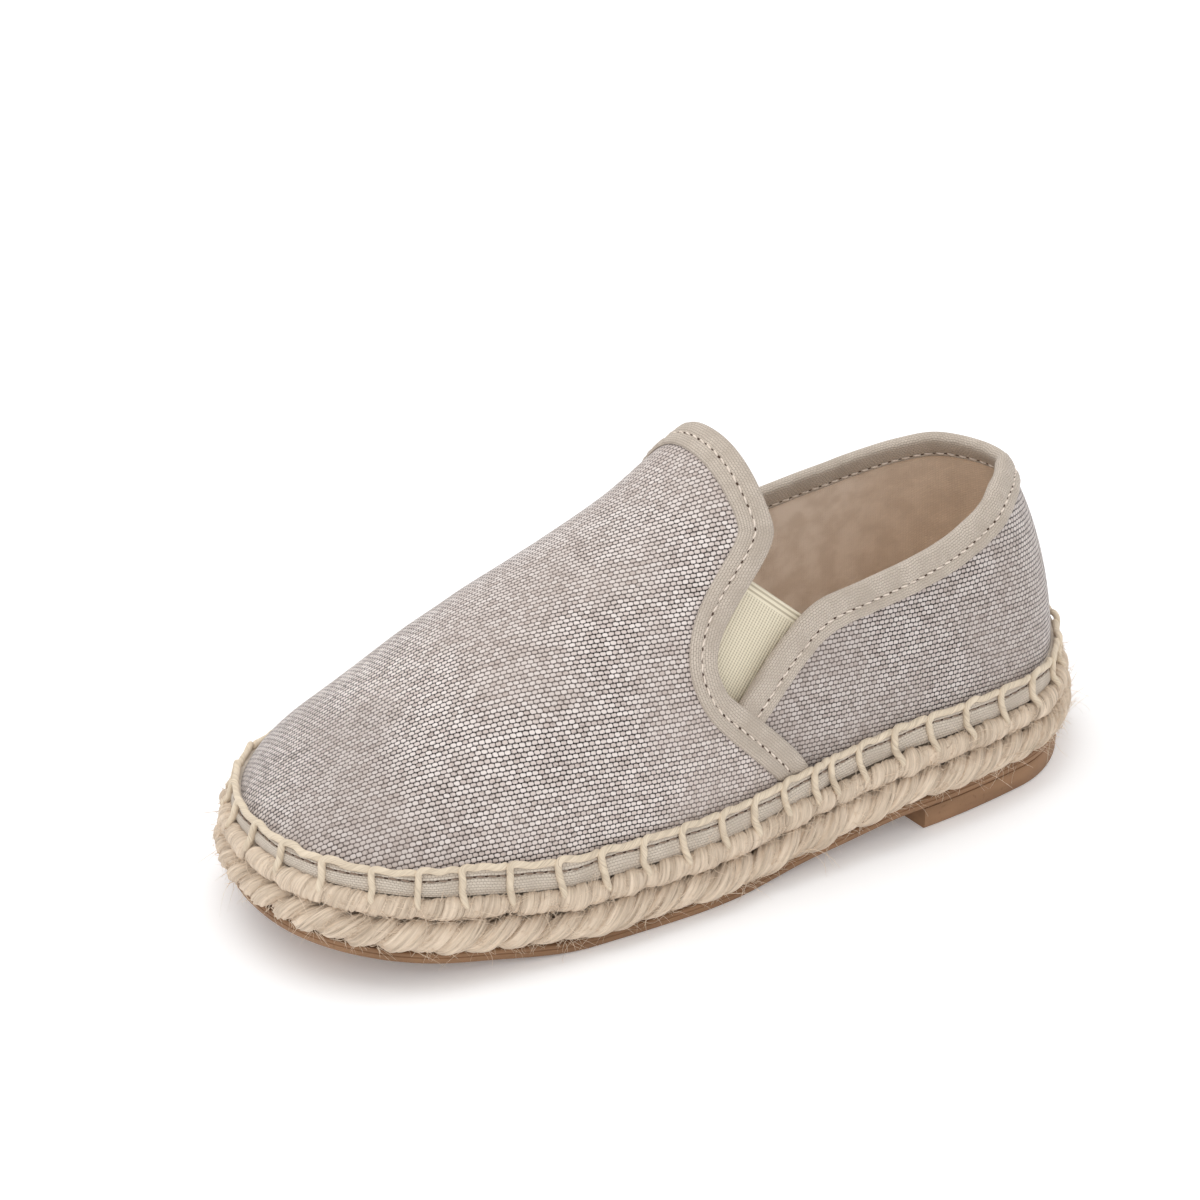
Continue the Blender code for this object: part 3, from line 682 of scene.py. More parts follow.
def make_fibre_group():
    """Fine fibres that run along a strand, lighter and darker, with a few dark gaps."""
    group, given, result = new_group(
        "bast_fibres",
        [("Fibre", "NodeSocketVector", None), ("Fineness", NUMBER, 3.0), ("Stretch", NUMBER, 0.12)],
        [("Height", NUMBER), ("Tone", NUMBER), ("Gap", NUMBER)],
    )
    parts = put(group, "ShaderNodeSeparateXYZ", None, Vector=given["Fibre"]).outputs
    along = calc(group, "MULTIPLY", parts[0], given["Stretch"])
    around = calc(group, "MULTIPLY", parts[1], given["Fineness"])
    place = put(group, "ShaderNodeCombineXYZ", None, X=along, Y=around, Z=parts[2]).outputs[0]
    fine = put(group, "ShaderNodeTexNoise", None, Vector=place, Scale=1.6, Detail=5.0, Roughness=0.6)
    fine = fine.outputs["Fac"]
    broad = scaled(group, place, (0.5, 0.35, 1.0))
    soft = put(group, "ShaderNodeTexNoise", None, Vector=broad, Scale=1.0, Detail=2.0)
    group.links.new(fine, result["Height"])
    tone = calc(group, "MULTIPLY_ADD", fine, 0.65, calc(group, "MULTIPLY", soft.outputs["Fac"], 0.35))
    group.links.new(spread(group, tone, 0.34, 0.66), result["Tone"])
    group.links.new(spread(group, fine, 0.40, 0.30), result["Gap"])
    return group


def make_handling_group():
    """Large soft patches of slightly darker cloth, as handling and light bleaching leave."""
    inputs = [("Size", NUMBER, 22.0), ("Strength", NUMBER, 0.5)]
    group, given, result = new_group("handling", inputs, [("Patch", NUMBER)])
    place = put(group, "ShaderNodeTexCoord").outputs["Object"]
    scale = calc(group, "DIVIDE", MILLIMETRES, given["Size"])
    noise = put(group, "ShaderNodeTexNoise", None, Vector=place, Scale=scale, Detail=3.0).outputs["Fac"]
    patch = calc(group, "MULTIPLY", spread(group, noise, 0.35, 0.68), given["Strength"])
    group.links.new(patch, result["Patch"])
    return group


def use(tree, name, **values):
    """A group placed in a material, with its own values."""
    node = tree.nodes.new("ShaderNodeGroup")
    node.node_tree = bpy.data.node_groups[name]
    for key, value in values.items():
        socket = node.inputs[key.replace("_", " ")]
        if isinstance(value, bpy.types.NodeSocket):
            tree.links.new(value, socket)
        else:
            socket.default_value = value
    return node.outputs


def new_finish(name, roughness, sheen=0.0, specular=0.3):
    """A material with a plain shader to add to, its node tree and that shader."""
    made = bpy.data.materials.new(OWN + name)
    made.use_nodes = True
    shader = made.node_tree.nodes["Principled BSDF"]
    shader.inputs["Roughness"].default_value = roughness
    shader.inputs["Sheen Weight"].default_value = sheen
    shader.inputs["Sheen Roughness"].default_value = 0.5
    shader.inputs["Specular IOR Level"].default_value = specular
    return made, made.node_tree, shader


def finish_with(tree, shader, colour, height=None, depth=0.0001, strength=1.0):
    tree.links.new(colour, shader.inputs["Base Color"])
    if height is not None:
        bump = put(tree, "ShaderNodeBump", None, Height=height, Distance=depth, Strength=strength)
        tree.links.new(bump.outputs[0], shader.inputs["Normal"])


def darker(colour, share):
    """A darker and slightly warmer colour."""
    return tuple(c * share ** (1 + 0.12 * k) for k, c in enumerate(colour))


def lighter(colour, times):
    return tuple(min(1.0, c * times) for c in colour)


def canvas_finish(ways):
    made, tree, shader = new_finish("canvas", 0.92, 0.25, 0.2)
    cloth = mark(tree, "cloth")
    length = ways.float_length * MILLIMETRES
    height = ways.row_height * MILLIMETRES
    weave = use(tree, "plain_weave", Cloth=cloth, Float_Length=length, Row_Height=height)
    light = tuple(ways.canvas_light)
    common = tuple(ways.canvas_middle)
    dark = tuple(ways.canvas_gap_shade)
    yarn = between(tree, spread(tree, weave["Yarn"], 0.2, 0.8), common, light)
    yarn = between(tree, spread(tree, weave["Slub"], 0.52, 0.72, 0.0, 0.45), yarn, light)
    # The weave's low places take the gap colour: painted shade in the recesses between the floats, over the
    # cloth's own darker gaps
    grain = between(tree, spread(tree, weave["Height"], 0.15, 0.85), dark, yarn)
    patch = use(tree, "handling", Strength=0.35)["Patch"]
    colour = between(tree, patch, grain, darker(common, 0.72))
    # The cloth mark's third value darkens the canvas towards the gap colour: the whole quarter, and the vamp
    # towards the toe
    darker_share = put(tree, "ShaderNodeSeparateXYZ", None, Vector=cloth).outputs[2]
    colour = between(tree, calc(tree, "MULTIPLY", darker_share, 0.17), colour, dark)
    finish_with(tree, shader, colour, weave["Height"], 0.00010, 0.9)
    return made


def fine_cloth_finish(name, colour, pitch, contrast=0.75, patch=0.2, depth=0.00004, painted_light=0.0):
    """Tape, foxing and lining: a finer weave in one colour, with painted light if asked: the cloth turns
    lighter from the heel towards the shoe's middle.
    """
    made, tree, shader = new_finish(name, 0.93, 0.15, 0.2)
    sizes = {"Float_Length": pitch * 1.15, "Row_Height": pitch * 0.9, "Waviness": 0.1, "Slant": 0.0}
    weave = use(tree, "plain_weave", Cloth=mark(tree, "cloth"), **sizes)
    yarn = between(tree, weave["Yarn"], darker(colour, 0.90), lighter(colour, 1.08))
    grain = between(tree, spread(tree, weave["Height"], 0.0, 0.6), darker(colour, contrast), yarn)
    # Painted light: the lining turns lighter away from the heel, where light falls into the shoe
    if painted_light:
        place = put(tree, "ShaderNodeTexCoord").outputs["Object"]
        along = put(tree, "ShaderNodeSeparateXYZ", None, Vector=place).outputs[0]
        grain = between(tree, spread(tree, along, -0.084, -0.046, 0.0, painted_light), grain, (1.0, 0.90, 0.80))
    soiled = use(tree, "handling", Strength=patch, Size=5.0)["Patch"]
    finish_with(tree, shader, between(tree, soiled, grain, darker(colour, 0.74)), weave["Height"], depth)
    return made


def elastic_finish(ways):
    """Cream elastic: fine ribs from its top edge down, crossed by a close weave, with a plain band on top."""
    made, tree, shader = new_finish("ribbed_elastic", 0.8, 0.1, 0.3)
    cloth = put(tree, "ShaderNodeSeparateXYZ", None, Vector=mark(tree, "cloth")).outputs
    pitches = ((0, 0.62), (1, 0.5), (1, 0.95))
    turns = (calc(tree, "MULTIPLY", cloth[k], 2 * math.pi / pitch) for k, pitch in pitches)
    ribs, rungs, band = (calc(tree, "MULTIPLY_ADD", calc(tree, "SINE", turn), 0.5, 0.5) for turn in turns)
    in_band = spread(tree, cloth[1], 2.6, 2.2)
    grid = calc(tree, "MULTIPLY_ADD", ribs, 0.7, calc(tree, "MULTIPLY", rungs, 0.3))
    below = calc(tree, "MULTIPLY", grid, calc(tree, "SUBTRACT", 1.0, in_band))
    height = calc(tree, "ADD", calc(tree, "MULTIPLY", band, in_band), below)
    colour = tuple(ways.elastic_colour)
    tone = between(tree, spread(tree, height, 0.0, 0.7), darker(colour, 0.55), lighter(colour, 1.06))
    noise = put(tree, "ShaderNodeTexNoise", None, Vector=mark(tree, "cloth"), Scale=1.3, Detail=3.0)
    tone = between(tree, calc(tree, "MULTIPLY", noise.outputs["Fac"], 0.25), tone, darker(colour, 0.8))
    finish_with(tree, shader, tone, height, 0.00009)
    return made


def fibre_finish(name, colour, fineness, depth, contrast):
    """Cord, thread and jute: fibres along each strand, each strand with its own tone."""
    made, tree, shader = new_finish(name, 0.9, 0.1, 0.25)
    fibre = mark(tree, "fibre")
    streaks = use(tree, "bast_fibres", Fibre=fibre, Fineness=fineness)
    strand = put(tree, "ShaderNodeSeparateXYZ", None, Vector=fibre).outputs[2]
    own = put(tree, "ShaderNodeTexWhiteNoise", {"noise_dimensions": "1D"}, W=strand).outputs["Value"]
    low = darker(colour, 1 - 0.42 * contrast)
    tone = between(tree, streaks["Tone"], low, lighter(colour, 1 + 0.30 * contrast))
    tone = between(tree, calc(tree, "MULTIPLY", own, 0.30 * contrast), tone, darker(colour, 0.78))
    tone = between(tree, calc(tree, "MULTIPLY", streaks["Gap"], 0.75 * contrast), tone, darker(colour, 0.38))
    finish_with(tree, shader, tone, streaks["Height"], depth)
    return made


def rubber_finish(ways):
    made, tree, shader = new_finish("crepe_rubber", 0.62, 0.0, 0.35)
    place = put(tree, "ShaderNodeTexCoord").outputs["Object"]
    fine = put(tree, "ShaderNodeTexNoise", None, Vector=place, Scale=900.0, Detail=4.0).outputs["Fac"]
    flat = scaled(tree, place, (1.0, 1.0, 3.0))
    soft = put(tree, "ShaderNodeTexNoise", None, Vector=flat, Scale=60.0, Detail=3.0).outputs["Fac"]
    colour = tuple(ways.colour)
    tone = between(tree, spread(tree, soft, 0.3, 0.7), darker(colour, 0.82), lighter(colour, 1.12))
    tone = between(tree, spread(tree, fine, 0.62, 0.75, 0.0, 0.5), tone, darker(colour, 0.6))
    finish_with(tree, shader, tone, fine, 0.00005)
    return made


def plain_finish(name, colour):
    made, tree, shader = new_finish(name, 0.9)
    place = put(tree, "ShaderNodeTexCoord").outputs["Object"]
    noise = put(tree, "ShaderNodeTexNoise", None, Vector=place, Scale=700.0, Detail=3.0)
    finish_with(tree, shader, between(tree, noise.outputs["Fac"], darker(colour, 0.8), colour))
    return made


def finish_named(name):
    made = bpy.data.materials.get(OWN + name)
    if made is None:
        raise RuntimeError(f"the finish {name} isn't made yet: run the finishes first")
    return made


class ClothWays(bpy.types.PropertyGroup):
    """Canvas, tapes, elastic, foxing and lining."""

    float_length: FloatProperty(
        name="Float length", description="Length of one float of the canvas weave",
        default=0.00116, min=0.0003, unit="LENGTH", precision=5,
    )
    row_height: FloatProperty(
        name="Row height", description="Distance between two rows of floats",
        default=0.00090, min=0.0003, unit="LENGTH", precision=5,
    )
    vamp_turn: FloatProperty(
        name="Vamp grain", description="How far the vamp's rows are turned from the shoe's length",
        default=math.radians(-30), subtype="ANGLE",
    )
    quarter_turn: FloatProperty(
        name="Quarter grain", description="How far the quarter's rows are turned from its length",
        default=math.radians(21), subtype="ANGLE",
    )
    canvas_light: FloatVectorProperty(
        name="Canvas yarn", description="The lightest yarn",
        default=shade(236, 226, 221), subtype="COLOR", min=0, max=1,
    )
    canvas_middle: FloatVectorProperty(
        name="Canvas shade", description="The common yarn",
        default=shade(206, 192, 185), subtype="COLOR", min=0, max=1,
    )
    # The gaps' colour: painted shade in the recesses between the floats, with the cloth's own darker gaps
    canvas_gap_shade: FloatVectorProperty(
        name="Canvas gap", description="The dark gaps between the floats",
        default=shade(36, 27, 25), subtype="COLOR", min=0, max=1,
    )
    tape_colour: FloatVectorProperty(
        name="Tape", description="The edge tapes",
        default=shade(207, 195, 182), subtype="COLOR", min=0, max=1,
    )
    foxing_colour: FloatVectorProperty(
        name="Foxing", description="The band round the foot",
        default=shade(217, 206, 192), subtype="COLOR", min=0, max=1,
    )
    lining_colour: FloatVectorProperty(
        name="Lining", description="The inside",
        default=shade(238, 218, 197), subtype="COLOR", min=0, max=1,
    )
    elastic_colour: FloatVectorProperty(
        name="Elastic", description="The side insets",
        default=shade(240, 231, 208), subtype="COLOR", min=0, max=1,
    )


class SeamWays(bpy.types.PropertyGroup):
    """Machine stitches and the blanket stitch."""

    stitch: FloatProperty(
        name="Stitch", description="Length of one machine stitch",
        default=0.00165, min=0.0005, unit="LENGTH", precision=5,
    )
    space: FloatProperty(
        name="Space", description="Gap between two stitches, where the needle went in",
        default=0.0007, min=0.0001, unit="LENGTH", precision=5,
    )
    thread: FloatProperty(
        name="Thread", description="Diameter of the machine thread",
        default=0.00036, min=0.0001, unit="LENGTH", precision=5,
    )
    inset: FloatProperty(
        name="Seam inset", description="Distance of the seam from the taped edge",
        default=0.0036, min=0.001, unit="LENGTH", precision=4,
    )
    cord: FloatProperty(
        name="Cord", description="Diameter of the blanket stitch's cord",
        default=0.00135, min=0.0005, unit="LENGTH", precision=5,
    )
    pitch: FloatProperty(
        name="Bar pitch", description="Distance between two bars of the blanket stitch",
        default=0.0088, min=0.004, unit="LENGTH", precision=4,
    )
    lean: FloatProperty(
        name="Bar lean", description="How far a bar's foot lies towards the heel of its top",
        default=0.0012, unit="LENGTH", precision=4,
    )
    thread_colour: FloatVectorProperty(
        name="Thread colour", description="Machine thread",
        default=shade(238, 226, 214), subtype="COLOR", min=0, max=1,
    )
    foxing_thread: FloatVectorProperty(
        name="Foxing thread", description="Thread of the foxing's running seam",
        default=shade(150, 132, 118), subtype="COLOR", min=0, max=1,
    )
    cord_colour: FloatVectorProperty(
        name="Cord colour", description="Blanket stitch cord",
        default=shade(221, 206, 184), subtype="COLOR", min=0, max=1,
    )


class JuteWays(bpy.types.PropertyGroup):
    """The two twisted rows and their loose fibres."""

    lower_pitch: FloatProperty(
        name="Lower strands", description="Distance between strands of the lower row",
        default=0.0058, min=0.003, unit="LENGTH", precision=4,
    )
    upper_pitch: FloatProperty(
        name="Upper strands", description="Distance between strands of the upper row",
        default=0.0026, min=0.002, unit="LENGTH", precision=4,
    )
    hairs: IntProperty(
        name="Hairs", description="How many loose fibres stand out",
        default=3600, min=0, max=4000,
    )
    frizz: IntProperty(
        name="Frizz", description="How many short curled fibres lie on the strands",
        default=4600, min=0, max=6000,
    )
    hair_length: FloatProperty(
        name="Hair length", description="Length of a common loose fibre",
        default=0.0027, min=0.001, unit="LENGTH", precision=4,
    )
    colour: FloatVectorProperty(
        name="Jute", description="Colour of the strands",
        default=shade(222, 204, 183), subtype="COLOR", min=0, max=1,
    )


class RubberWays(bpy.types.PropertyGroup):
    """Outsole and heel lift."""

    bevel: FloatProperty(
        name="Bevel", description="Rounding of the rubber's edges",
        default=0.0006, min=0.0001, unit="LENGTH", precision=5,
    )
    colour: FloatVectorProperty(
        name="Rubber", description="Colour of the rubber",
        default=shade(145, 111, 82), subtype="COLOR", min=0, max=1,
    )


class StageWays(bpy.types.PropertyGroup):
    """Floor, light and camera."""

    azimuth: FloatProperty(
        name="Azimuth", description="Where the camera stands round the shoe",
        default=math.radians(145.614), subtype="ANGLE",
    )
    elevation: FloatProperty(
        name="Elevation", description="How high the camera stands",
        default=math.radians(26.234), subtype="ANGLE",
    )
    roll: FloatProperty(
        name="Roll", description="The camera's roll",
        default=math.radians(0.19), subtype="ANGLE",
    )
    distance: FloatProperty(
        name="Distance", description="From the camera to the middle of the shoe",
        default=0.7675, unit="LENGTH",
    )
    sky: FloatProperty(
        name="Surrounding light", description="Strength of the even light",
        default=0.74, min=0,
    )
    floor_glow: FloatProperty(
        name="Floor glow", description="How much the floor brightens by itself",
        default=0.12, min=0,
    )
    key: FloatProperty(
        name="Key light", description="Power of the large light overhead",
        default=5.8, min=0,
    )


class ESPADRILLE_OT_finishes(bpy.types.Operator):
    """Makes the shared effects and all finishes"""

    bl_idname = "espadrille.finishes"
    bl_label = "Finishes"

    def execute(self, context):
        cloth = context.scene.espadrille_cloth
        seams = context.scene.espadrille_seams
        make_weave_group()
        make_fibre_group()
        make_handling_group()
        canvas_finish(cloth)
        jute = context.scene.espadrille_jute.colour
        fine_cloth_finish("cotton_tape", tuple(cloth.tape_colour), 0.60, 0.54, 0.65, 0.00010)
        fine_cloth_finish("foxing_cotton", tuple(cloth.foxing_colour), 0.60, 0.62, 0.60, 0.00010)
        # The lining gets painted light: lighter away from the heel
        fine_cloth_finish("lining_cotton", tuple(cloth.lining_colour), 0.60, 0.86, 0.45, painted_light=0.75)
        fine_cloth_finish("footbed_cloth", darker(cloth.lining_colour, 0.9), 0.8, 0.75, 0.5)
        elastic_finish(cloth)
        for name, colour, fineness, depth, contrast in (
            ("machine_thread", seams.thread_colour, 6.0, 0.00003, 0.5),
            ("dark_thread", seams.foxing_thread, 6.0, 0.00003, 0.5),
            ("waxed_cord", seams.cord_colour, 2.2, 0.00008, 0.45),
            ("jute", jute, 1.1, 0.0005, 0.70),
            ("jute_hair", lighter(jute, 1.1), 2.0, 0.00002, 0.4),
            ("jute_core", darker(jute, 0.7), 1.4, 0.0004, 0.8),
        ):
            fibre_finish(name, tuple(colour), fineness, depth, contrast)
        rubber_finish(context.scene.espadrille_rubber)
        # Dark colour of the needle holes: painted shade in the holes
        plain_finish("needle_hole_shade", shade(84, 66, 56))
        return {"FINISHED"}


class ESPADRILLE_OT_upper(bpy.types.Operator):
    """Builds the canvas vamp and quarter with their lining, on the last, with the creases that wear left in
    the cloth
    """

    bl_idname = "espadrille.upper"
    bl_label = "Canvas upper"
    half_rows = 72
    columns = 112
    quarter_rows = 34
    quarter_columns = 200
    quarter_height = 0.045

    def execute(self, context):
        ways = context.scene.espadrille_cloth
        finishes = [finish_named("canvas"), finish_named("lining_cotton")]
        rows = evenly(self.half_rows, 0, math.pi / 2, lambda phi: on_last(vamp_edge(phi), phi))
        rows = np.concatenate([rows, math.pi - rows[-2::-1]])
        share = np.linspace(0, 1, self.columns) ** 1.05
        fine = np.linspace(0, math.pi, 1200)
        far = lengths(np.concatenate([outline(fine), outline(-fine)], -1))
        start = np.interp(vamp_edge(rows), fine, far)[:, None]
        thetas = np.interp(start + (far[-1] - start) * share, far, fine)
        phis = np.repeat(rows[:, None], self.columns, 1)
        outer = skin(thetas, phis)
        drop = outer[self.half_rows - 1, :, 2][None] - outer[..., 2]
        side = np.where(phis > math.pi / 2, -1, 1)
        outward = unit(outline(side * thetas, -STEP_OUT) - outline(side * thetas))
        start = outer[..., :2] + outward * np.maximum(drop, 0)[..., None]
        cloth = flatten(outer, start, ways.vamp_turn, seam=True)
        # The cloth mark's third value, which darkens the canvas, rises towards the toe
        cloth[..., 2] = 0.8 * ease((station(thetas) - 0.78) / 0.2)
        add_sheet("canvas_vamp", outer, cloth, finishes, WALL, slot="canvas", node="upper")
        front = theta_of(QUARTER_FRONT)
        thetas = evenly(self.quarter_columns, -front, front, lambda t: on_last(t, quarter_edge(t)))
        shares = np.linspace(0, 1, self.quarter_rows)
        phis = quarter_edge(thetas)[None] * shares[:, None]
        thetas = np.repeat(thetas[None], len(shares), 0)
        level = quarter_out(station(thetas))
        outer = skin(thetas, phis, level)
        length = lengths(outer[self.quarter_rows // 3])
        start = np.stack(np.broadcast_arrays(length, shares[:, None] * self.quarter_height), -1)
        cloth = flatten(outer, start, ways.quarter_turn)
        # The whole quarter's canvas is darkened by the cloth mark's third value
        cloth[..., 2] = 1.0
        add_sheet("canvas_quarter", outer, cloth, finishes, WALL, slot="canvas", node="upper")
        return {"FINISHED"}


def steady(values, far, reach):
    """Values along a path, each averaged with its neighbours within reach."""
    weight = np.exp(-(((far[:, None] - far[None]) / reach) ** 2))
    return weight @ values / weight.sum(axis=1)[:, None]


class EdgeTape:
    """The path of a tape along an edge of the cloth, with the cloth on its right, seen from outside."""

    ease_reach = 0.0055
    bend_reach = 0.0050
    end_reach = 0.012
    laid = 0.00004
    seam_share = 1.0

    def __init__(self, theta, phi, level, turn_in, depth, within):
        self.theta = theta
        self.phi = phi
        self.level = level * np.ones(len(theta))
        self.turn_in = turn_in * np.ones(len(theta))
        self.depth = depth * np.ones(len(theta))
        self.within = within
        edge = skin(theta, phi, self.level)
        run = np.gradient(edge, axis=0)
        into = np.cross(normal_at(theta, phi), run)
        self.far = lengths(edge)
        self.into = unit(steady(unit(into), self.far, self.ease_reach))

    def at(self, distance, out):
        """Points that far into the cloth from the edge and that far over it, and their normals."""
        distance = np.broadcast_to(distance, self.theta.shape)
        spots = np.stack(self.within(*slide(self.theta, self.phi, self.into * distance[:, None])), 1)
        ends = ease(np.minimum(self.far, self.far[-1] - self.far) / self.end_reach)
        share = (distance / TAPE_WIDTH) ** 2 * ends
        theta, phi = (spots + (steady(spots, self.far, self.bend_reach) - spots) * share[:, None]).T
        return skin(theta, phi, self.level + out), normal_at(theta, phi)

    def beside(self, back, out):
        """Points behind the edge, where the tape folds over it."""
        back = np.broadcast_to(back, self.theta.shape)[:, None]
        edge = skin(self.theta, self.phi, self.level) - self.into * back
        return edge + normal_at(self.theta, self.phi) * np.asarray(out)[..., None]

    def sections(self, groove):
        """The tape's section: padded outer leg with the seam's groove, the fold, and the inner leg."""
        top = GAP + TAPE
        w = TAPE_WIDTH
        outer = [
            (w - 0.0001, self.laid), (w, 0.0002), (w - 0.0001, top * 0.66), (w - 0.0006, top * 0.94),
            (w - 0.0014, top * 1.04), (groove + 0.0007, top), (groove + 0.0003, top * 0.80),
            (groove, top * 0.62), (groove - 0.0003, top * 0.80), (groove - 0.0008, top * 1.04),
            (groove * 0.45, top * 1.14), (0.0002, top * 1.06),
        ]
        random = np.random.default_rng(len(self.far) + round(self.far[-1] / GAP))
        waves = [2 * math.pi * self.far / wave + random.uniform(0, 2 * math.pi) for wave in RIPPLES]
        ripple = 1 + sum(RIPPLE_SHARE * np.sin(wave) for wave in waves)
        rows = [self.at(d, out * ripple)[0] for d, out in outer]
        base = -(self.depth + TAPE)
        centre = (top + base) / 2
        half = (top - base) / 2
        for turn in np.linspace(0.16, 0.84, 6) * math.pi:
            rows.append(self.beside((GAP + TAPE) * math.sin(turn), centre + half * math.cos(turn)))
        seam = groove / TAPE_TURN_IN
        inner = [
            (0.05, 1.06), (0.3, 1.14), (seam - 0.08, 1.0), (seam, 0.7), (seam + 0.08, 1.0),
            (0.94, 1.06), (1.0, 0.6), (1.0, 0.0), (0.5, 0.0),
        ]
        rows += [self.at(self.turn_in * share, -self.depth - TAPE * out)[0] for share, out in inner]
        rows.append(self.beside(GAP * 0.5, -self.depth))
        rows.append(self.beside(GAP * 0.5, self.laid * np.ones(len(self.theta))))
        rows.append(self.at(w / 2, self.laid)[0])
        return np.stack(rows, 1)

    def marks(self, sections):
        across = step_lengths(sections, 1)
        along = np.broadcast_to(self.far[:, None], across.shape)
        return np.stack([along, across, np.zeros(across.shape)], -1).reshape(-1, 3) * MILLIMETRES


def above_foxing(theta, phi):
    low = foxing_top_phi(theta)
    return theta, np.clip(phi, low, math.pi - low)


def behind_vamp(theta, phi):
    reach = vamp_edge(phi) + TAPE_WIDTH / 3 / LENGTH
    return np.clip(theta, -reach, reach), phi


def vamp_tape():
    phis = rise_to_phi(np.linspace(0.02, 0.25, 400))
    start = float(phis[np.argmax(phis > foxing_top_phi(vamp_edge(phis)))])
    phi = evenly(300, start, math.pi - start, lambda p: on_last(vamp_edge(p), p))
    height = np.minimum(phi, math.pi - phi) - float(quarter_edge(notch_theta()))
    free = ease((height - FOLD_RISE[1]) / LEG_RISE)
    deep = ease((height - FOLD_RISE[0]) / (FOLD_RISE[1] - FOLD_RISE[0]))
    shallow = LAP - GAP - TAPE - 0.0001
    turn_in = -0.5 * GAP + (TAPE_TURN_IN + 0.5 * GAP) * free
    depth = shallow + (WALL + GAP / 3 - shallow) * deep
    tape = EdgeTape(vamp_edge(phi), phi, 0.0, turn_in, depth, above_foxing)
    tape.seam_share = VAMP_SEAM_SHARE
    return tape


def collar_tape():
    end = notch_theta() + TAPE_WIDTH / 3 / LENGTH
    theta = evenly(300, -end, end, lambda t: on_last(t, quarter_edge(t)))
    level = quarter_out(station(theta))
    return EdgeTape(theta, quarter_edge(theta), level, TAPE_TURN_IN, WALL + GAP / 3, behind_vamp)


class ESPADRILLE_OT_tapes(bpy.types.Operator):
    """Folds the cotton tapes over the vamp's rear edge and over the collar"""

    bl_idname = "espadrille.tapes"
    bl_label = "Edge tapes"

    def execute(self, context):
        inset = context.scene.espadrille_seams.inset
        finish = finish_named("cotton_tape")
        for name, tape, node in (
            ("throat_tape", vamp_tape(), "vamp_binding"),
            ("collar_tape", collar_tape(), "collar_binding"),
        ):
            sections = tape.sections(inset * tape.seam_share)
            marks = {"cloth": tape.marks(sections)}
            add_sweep(name, sections, marks, finish, node=node, slot="cotton_tape", sharp=70)
        return {"FINISHED"}


def stitch_line(points, normals, ways, seed):
    """Paths of the stitches along a line, and the places of the needle holes between them."""
    far = lengths(points)
    pitch = ways.stitch + ways.space
    count = int(far[-1] / pitch) - 1
    random = np.random.default_rng(seed)
    starts = (far[-1] - count * pitch) / 2 + pitch * np.arange(count) + ways.space / 2
    starts = starts + random.normal(0, 0.00005, count)
    shares = np.linspace(0, 1, 7)
    places = starts[:, None] + ways.stitch * shares[None]
    paths = along_path(places, far, points)
    ups = along_path(places, far, normals)
    run = np.gradient(paths, axis=1)
    side = unit(np.cross(run, ups))
    paths = paths + side * (STITCH_LEAN * (2 * shares - 1))[None, :, None]
    paths = paths + ups * (STITCH_RISE * np.sin(math.pi * shares) - STITCH_SINK)[None, :, None]
    middles = starts - ways.space / 2
    holes = along_path(middles, far, points)
    hole_ups = along_path(middles, far, normals)
    hole_run = along_path(middles + 0.0003, far, points) - holes
    return paths, ups, holes, hole_ups, hole_run


def add_seam(name, lines, ways, seed, thread):
    """Machine stitches along several lines of points and normals, with dark discs at their needle holes as
    painted shade in the holes.
    """
    stitches = [stitch_line(points, normals, ways, seed + k) for k, (points, normals) in enumerate(lines)]
    paths = np.concatenate([s[0] for s in stitches])
    ups = np.concatenate([s[1] for s in stitches])
    bulge = np.array([0.45, 0.85, 1.0, 1.0, 1.0, 0.85, 0.45])
    radii = ways.thread / 2 * np.broadcast_to(bulge, paths.shape[:2])
    points, faces, marks = tubes(paths, ups, radii, 8, ply=0.15, twist=5000.0)
    finishes = [finish_named(thread)]
    add_piece(f"{name}_stitches", points, faces, finishes, marks={"fibre": marks}, slot="cotton_tape")
    # Dark flattened discs at the needle holes: painted shade in the holes beside the stitches
    holes = np.concatenate([s[2] for s in stitches])
    ups = np.concatenate([s[3] for s in stitches])
    run = unit(np.concatenate([s[4] for s in stitches]))
    shares = np.array([-1.0, -0.7, 0.0, 0.7, 1.0])
    paths = holes[:, None] + run[:, None] * (shares * ways.space * 0.55)[None, :, None]
    radii = np.broadcast_to(np.sqrt(1.02 - shares**2) * ways.thread * 0.68, paths.shape[:2])
    ups = np.repeat(ups[:, None], len(shares), 1)
    points, faces, marks = tubes(paths - ups * 0.00001, ups, radii, 8, flat=0.35)
    finishes = [finish_named("needle_hole_shade")]
    add_piece(f"{name}_holes", points, faces, finishes, marks={"fibre": marks}, slot="cotton_tape")


class ESPADRILLE_OT_tape_seams(bpy.types.Operator):
    """Sews the tapes down, on their outer and their inner leg"""

    bl_idname = "espadrille.tape_seams"
    bl_label = "Tape seams"

    def execute(self, context):
        ways = context.scene.espadrille_seams
        top = (GAP + TAPE) * 0.66
        lines = []
        for tape in (vamp_tape(), collar_tape()):
            inset = ways.inset * tape.seam_share
            lines.append(tape.at(inset, top))
            inner = tape.at(np.minimum(tape.turn_in, inset), -tape.depth - TAPE * 0.75)
            deep = tape.turn_in > inset
            first = int(np.argmax(deep))
            last = len(deep) - int(np.argmax(deep[::-1]))
            lines.append((inner[0][first:last], -inner[1][first:last]))
        add_seam("tape", lines, ways, 11, "machine_thread")
        return {"FINISHED"}


